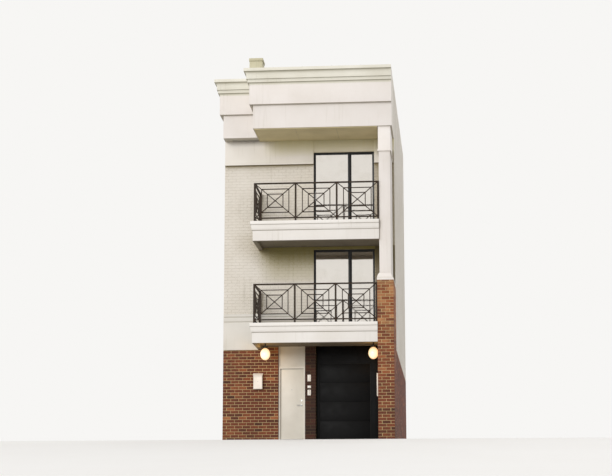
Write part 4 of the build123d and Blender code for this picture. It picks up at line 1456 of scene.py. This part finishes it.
def roof_outlet():
    """A round outlet near the back with a wire dome over it, against leaves."""
    centre = Vector((right_inner - OUTLET_INSET, rear_inner - OUTLET_INSET, roof_top + FELT * 2))
    flange = [disc(centre, *OUTLET_FLANGE), disc(centre, *OUTLET_COLLAR)]
    rods("roof_outlet_flange", flange, lead, arris=0.001, segments=40)
    dome = bmesh.new()
    foot = centre + Vector((0, 0, DOME_LIFT))
    bmesh.ops.create_uvsphere(
        dome, u_segments=14, v_segments=10, radius=DOME_RADIUS, matrix=Matrix.Translation(foot)
    )
    geometry = dome.verts[:] + dome.edges[:] + dome.faces[:]
    bmesh.ops.bisect_plane(dome, geom=geometry, plane_co=foot, plane_no=(0, 0, 1), clear_inner=True)
    bmesh.ops.wireframe(
        dome, faces=dome.faces[:], thickness=DOME_WIRE, use_boundary=True,
        use_even_offset=True, use_replace=True,
    )
    bmesh.ops.recalc_face_normals(dome, faces=dome.faces[:])
    piece("roof_outlet_dome", dome, lamp_metal)


roof_sheets()
blocks("roof_upstands", along_parapets(UPSTAND_DEPTH, upstand_z), felt, arris=0.002)
cover = along_parapets(COVER_DEPTH, around(roof_top + UPSTAND, COVER))
blocks("roof_cover_flashing", cover, lead, arris=0.002)
chimney_flashing()
flue_liner()
roof_outlet()

# Coping: joints between its lengths, and lead over the top of the cornice
COPING_LENGTH = 1.2
COPING_JOINT = 0.008
COPING_LIP = 0.030
SEAL_PROUD = 0.0012
FIRST_JOINT = 0.004
CAPPING_INSET = 0.012
CAPPING_LENGTH = 0.9
CAPPING = 0.002
ROLL_LIFT = 0.004
ROLL_RADIUS = 0.009


def coping_joints():
    """Narrow seals across the coping, barely proud of it."""
    z = (coping_low.z - SEAL_PROUD, coping_high.z + SEAL_PROUD)
    left_x = (left - SEAL_PROUD, left_inner + COPING_LIP + SEAL_PROUD)
    right_x = (right_inner - COPING_LIP - SEAL_PROUD, right + SEAL_PROUD)
    rear_y = (rear_inner - COPING_LIP - SEAL_PROUD, rear + COPING_LIP + SEAL_PROUD)
    spans = []
    for x, start in ((left_x, return_end), (right_x, front_plane + PARAPET + COPING_LIP)):
        count = math.ceil((rear_inner - start) / COPING_LENGTH)
        length = rear_inner - COPING_LIP - start - FIRST_JOINT
        for i in range(count + 1):
            y = start + FIRST_JOINT + length * i / count
            spans.append((x, around(y, COPING_JOINT), z))
    count = math.ceil((right - left) / COPING_LENGTH)
    for i in range(1, count):
        spans.append((around(left + (right - left) * i / count, COPING_JOINT), rear_y, z))
    blocks("coping_joints", spans, (mortar_finish, "render"))


def capped(edge):
    """The two sides of the lead over a cornice and parapet with their face at an edge."""
    outer = left - cornice_low.x
    inner = PARAPET + COPING_LIP
    return (edge - outer + CAPPING_INSET, edge + inner - CAPPING_INSET)


def cornice_capping():
    """Lead sheets on the top of the cornice, with a rolled joint between each pair."""
    outer = left - cornice_low.x
    inner = PARAPET + COPING_LIP
    top = cornice_high.z
    zones = [
        (1, capped(left), (recess_plane + inner, return_end)),
        (0, (capped(left)[0], bay_left - outer), capped(recess_plane)),
        (1, capped(bay_left), (front_plane + inner, capped(recess_plane)[1])),
        (0, (capped(bay_left)[0], right - CAPPING_INSET), capped(front_plane)),
    ]
    sheets, rolls = [], []
    for axis, x, y in zones:
        start, end = (x, y)[axis]
        count = max(1, round((end - start) / CAPPING_LENGTH))
        sheets.append((x, y, (top, top + CAPPING)))
        for i in range(1, count):
            place = start + i * (end - start) / count
            ends = [(place, side) if axis == 0 else (side, place) for side in (y, x)[axis]]
            rolls.append((*[(*end, top + ROLL_LIFT) for end in ends], ROLL_RADIUS))
    blocks("cornice_lead_sheets", sheets, lead, arris=0.0008)
    rods("cornice_lead_rolls", rolls, lead, arris=0.002)


coping_joints()
cornice_capping()

# Floor, level under the house and rounding off to a slope towards the street
FLOOR_REACH = 220.0
CREST = front_plane - 0.03
CREST_STEP = 0.25
FALLS = [math.radians(1.3 * i) for i in range(1, 6)]


def seen_directly(tree):
    """1 where the camera sees a surface, plainly, mirrored or through glass, and 0 where only
    the light from it matters."""
    seen = add(tree, "LightPath", out="Is Camera Ray")
    for way in ("Is Glossy Ray", "Is Transmission Ray"):
        ray = add(tree, "LightPath", out=way)
        seen = add(tree, "Math", {0: seen, 1: ray}, operation="MAXIMUM")
    return seen


def studio_floor():
    """Pale matt studio floor: to the eye a quiet warm grey that carries the shadow, and to the
    light that bounces up from it a darker grey, like paving."""
    made, tree, place = begin("pale_studio_floor")
    clouds = add(tree, "TexNoise", {"Vector": place, "Scale": 1 / 3.0, "Detail": 3.0})
    pale = add(tree, "Mix", {0: clouds, 6: "#F6F5F3", 7: "#F2F0ED"})
    seen = seen_directly(tree)
    colour = add(tree, "Mix", {0: seen, 6: "#A5A29C", 7: pale})
    return coat(made, colour, 0.9, ior=1.4)


floor_shape = bmesh.new()
bmesh.ops.create_grid(floor_shape, x_segments=1, y_segments=1, size=FLOOR_REACH)
bmesh.ops.translate(floor_shape, verts=floor_shape.verts[:], vec=(0, FLOOR_REACH + CREST, 0))
front_edges = [e for e in floor_shape.edges if all(v.co.y < CREST + 0.01 for v in e.verts)]
for angle in FALLS:
    run = FLOOR_REACH if angle == FALLS[-1] else CREST_STEP
    sloped = bmesh.ops.extrude_edge_only(floor_shape, edges=front_edges)["geom"]
    lower = [v for v in sloped if isinstance(v, bmesh.types.BMVert)]
    bmesh.ops.translate(floor_shape, verts=lower, vec=(0, -run, -run * math.tan(angle)))
    front_edges = [e for e in sloped if isinstance(e, bmesh.types.BMEdge)]
bmesh.ops.recalc_face_normals(floor_shape, faces=floor_shape.faces[:])
floor_mesh = bpy.data.meshes.new("floor")
floor_shape.to_mesh(floor_mesh)
floor_shape.free()
floor_mesh.materials.append(studio_floor())
floor_mesh.shade_smooth()
placed("floor", floor_mesh)

# Soft light: an even pale sky, one very broad lamp from above the street, a weak one from
# behind that opens up the shaded sides, and the lit lamps
SKY_LIGHT = 0.80
BACKGROUND = "#F7F6F4"
SUN_COLOUR = "#FFFDFA"
SUNS = (
    ("broad_sun", 1.43, 22, Vector((-0.38, -1.0, 0.24))),
    ("fill_behind", 0.45, 70, Vector((0.60, 1.0, 0.45))),
)
LAMP_POWER = 5.5
LAMP_COLOUR = "#FFC76C"
LAMP_RADIUS = 0.10
world = bpy.data.worlds.new("pale_sky")
bpy.context.scene.world = world
world.use_nodes = True
sky = world.node_tree
sky.nodes.clear()
lighting = add(sky, "Background", {"Color": "#FFFFFF", "Strength": SKY_LIGHT})
shown = add(sky, "Background", {"Color": BACKGROUND, "Strength": 1.0})
both = add(sky, "MixShader", {0: seen_directly(sky), 1: lighting, 2: shown})
add(sky, "OutputWorld", {"Surface": both})

for name, power, breadth, way in SUNS:
    sun = bpy.data.lights.new(name, "SUN")
    sun.energy = power
    sun.angle = math.radians(breadth)
    sun.color = linear(SUN_COLOUR)[:3]
    placed(name, sun).rotation_euler = way.to_track_quat("Z", "Y").to_euler()
for number, (low, high) in enumerate(globe_boxes):
    glow = bpy.data.lights.new(f"lamp_glow_{number}", "POINT")
    glow.energy = LAMP_POWER
    glow.color = linear(LAMP_COLOUR)[:3]
    glow.shadow_soft_size = LAMP_RADIUS
    placed(glow.name, glow).location = (low + high) / 2

# Camera: the photograph's eye, below the house and to its right, turned to the house
EYE = Vector((4.115, -50.9, -3.07))
TARGET = Vector((-0.05, -5.0, 5.85))
camera_data = bpy.data.cameras.new("camera")
camera_data.lens = 96
camera_data.clip_end = 1000
camera = placed("camera", camera_data)
camera.location = EYE
camera.rotation_euler = (TARGET - EYE).to_track_quat("-Z", "Y").to_euler()
bpy.context.scene.camera = camera
bpy.context.scene.view_settings.view_transform = "Standard"
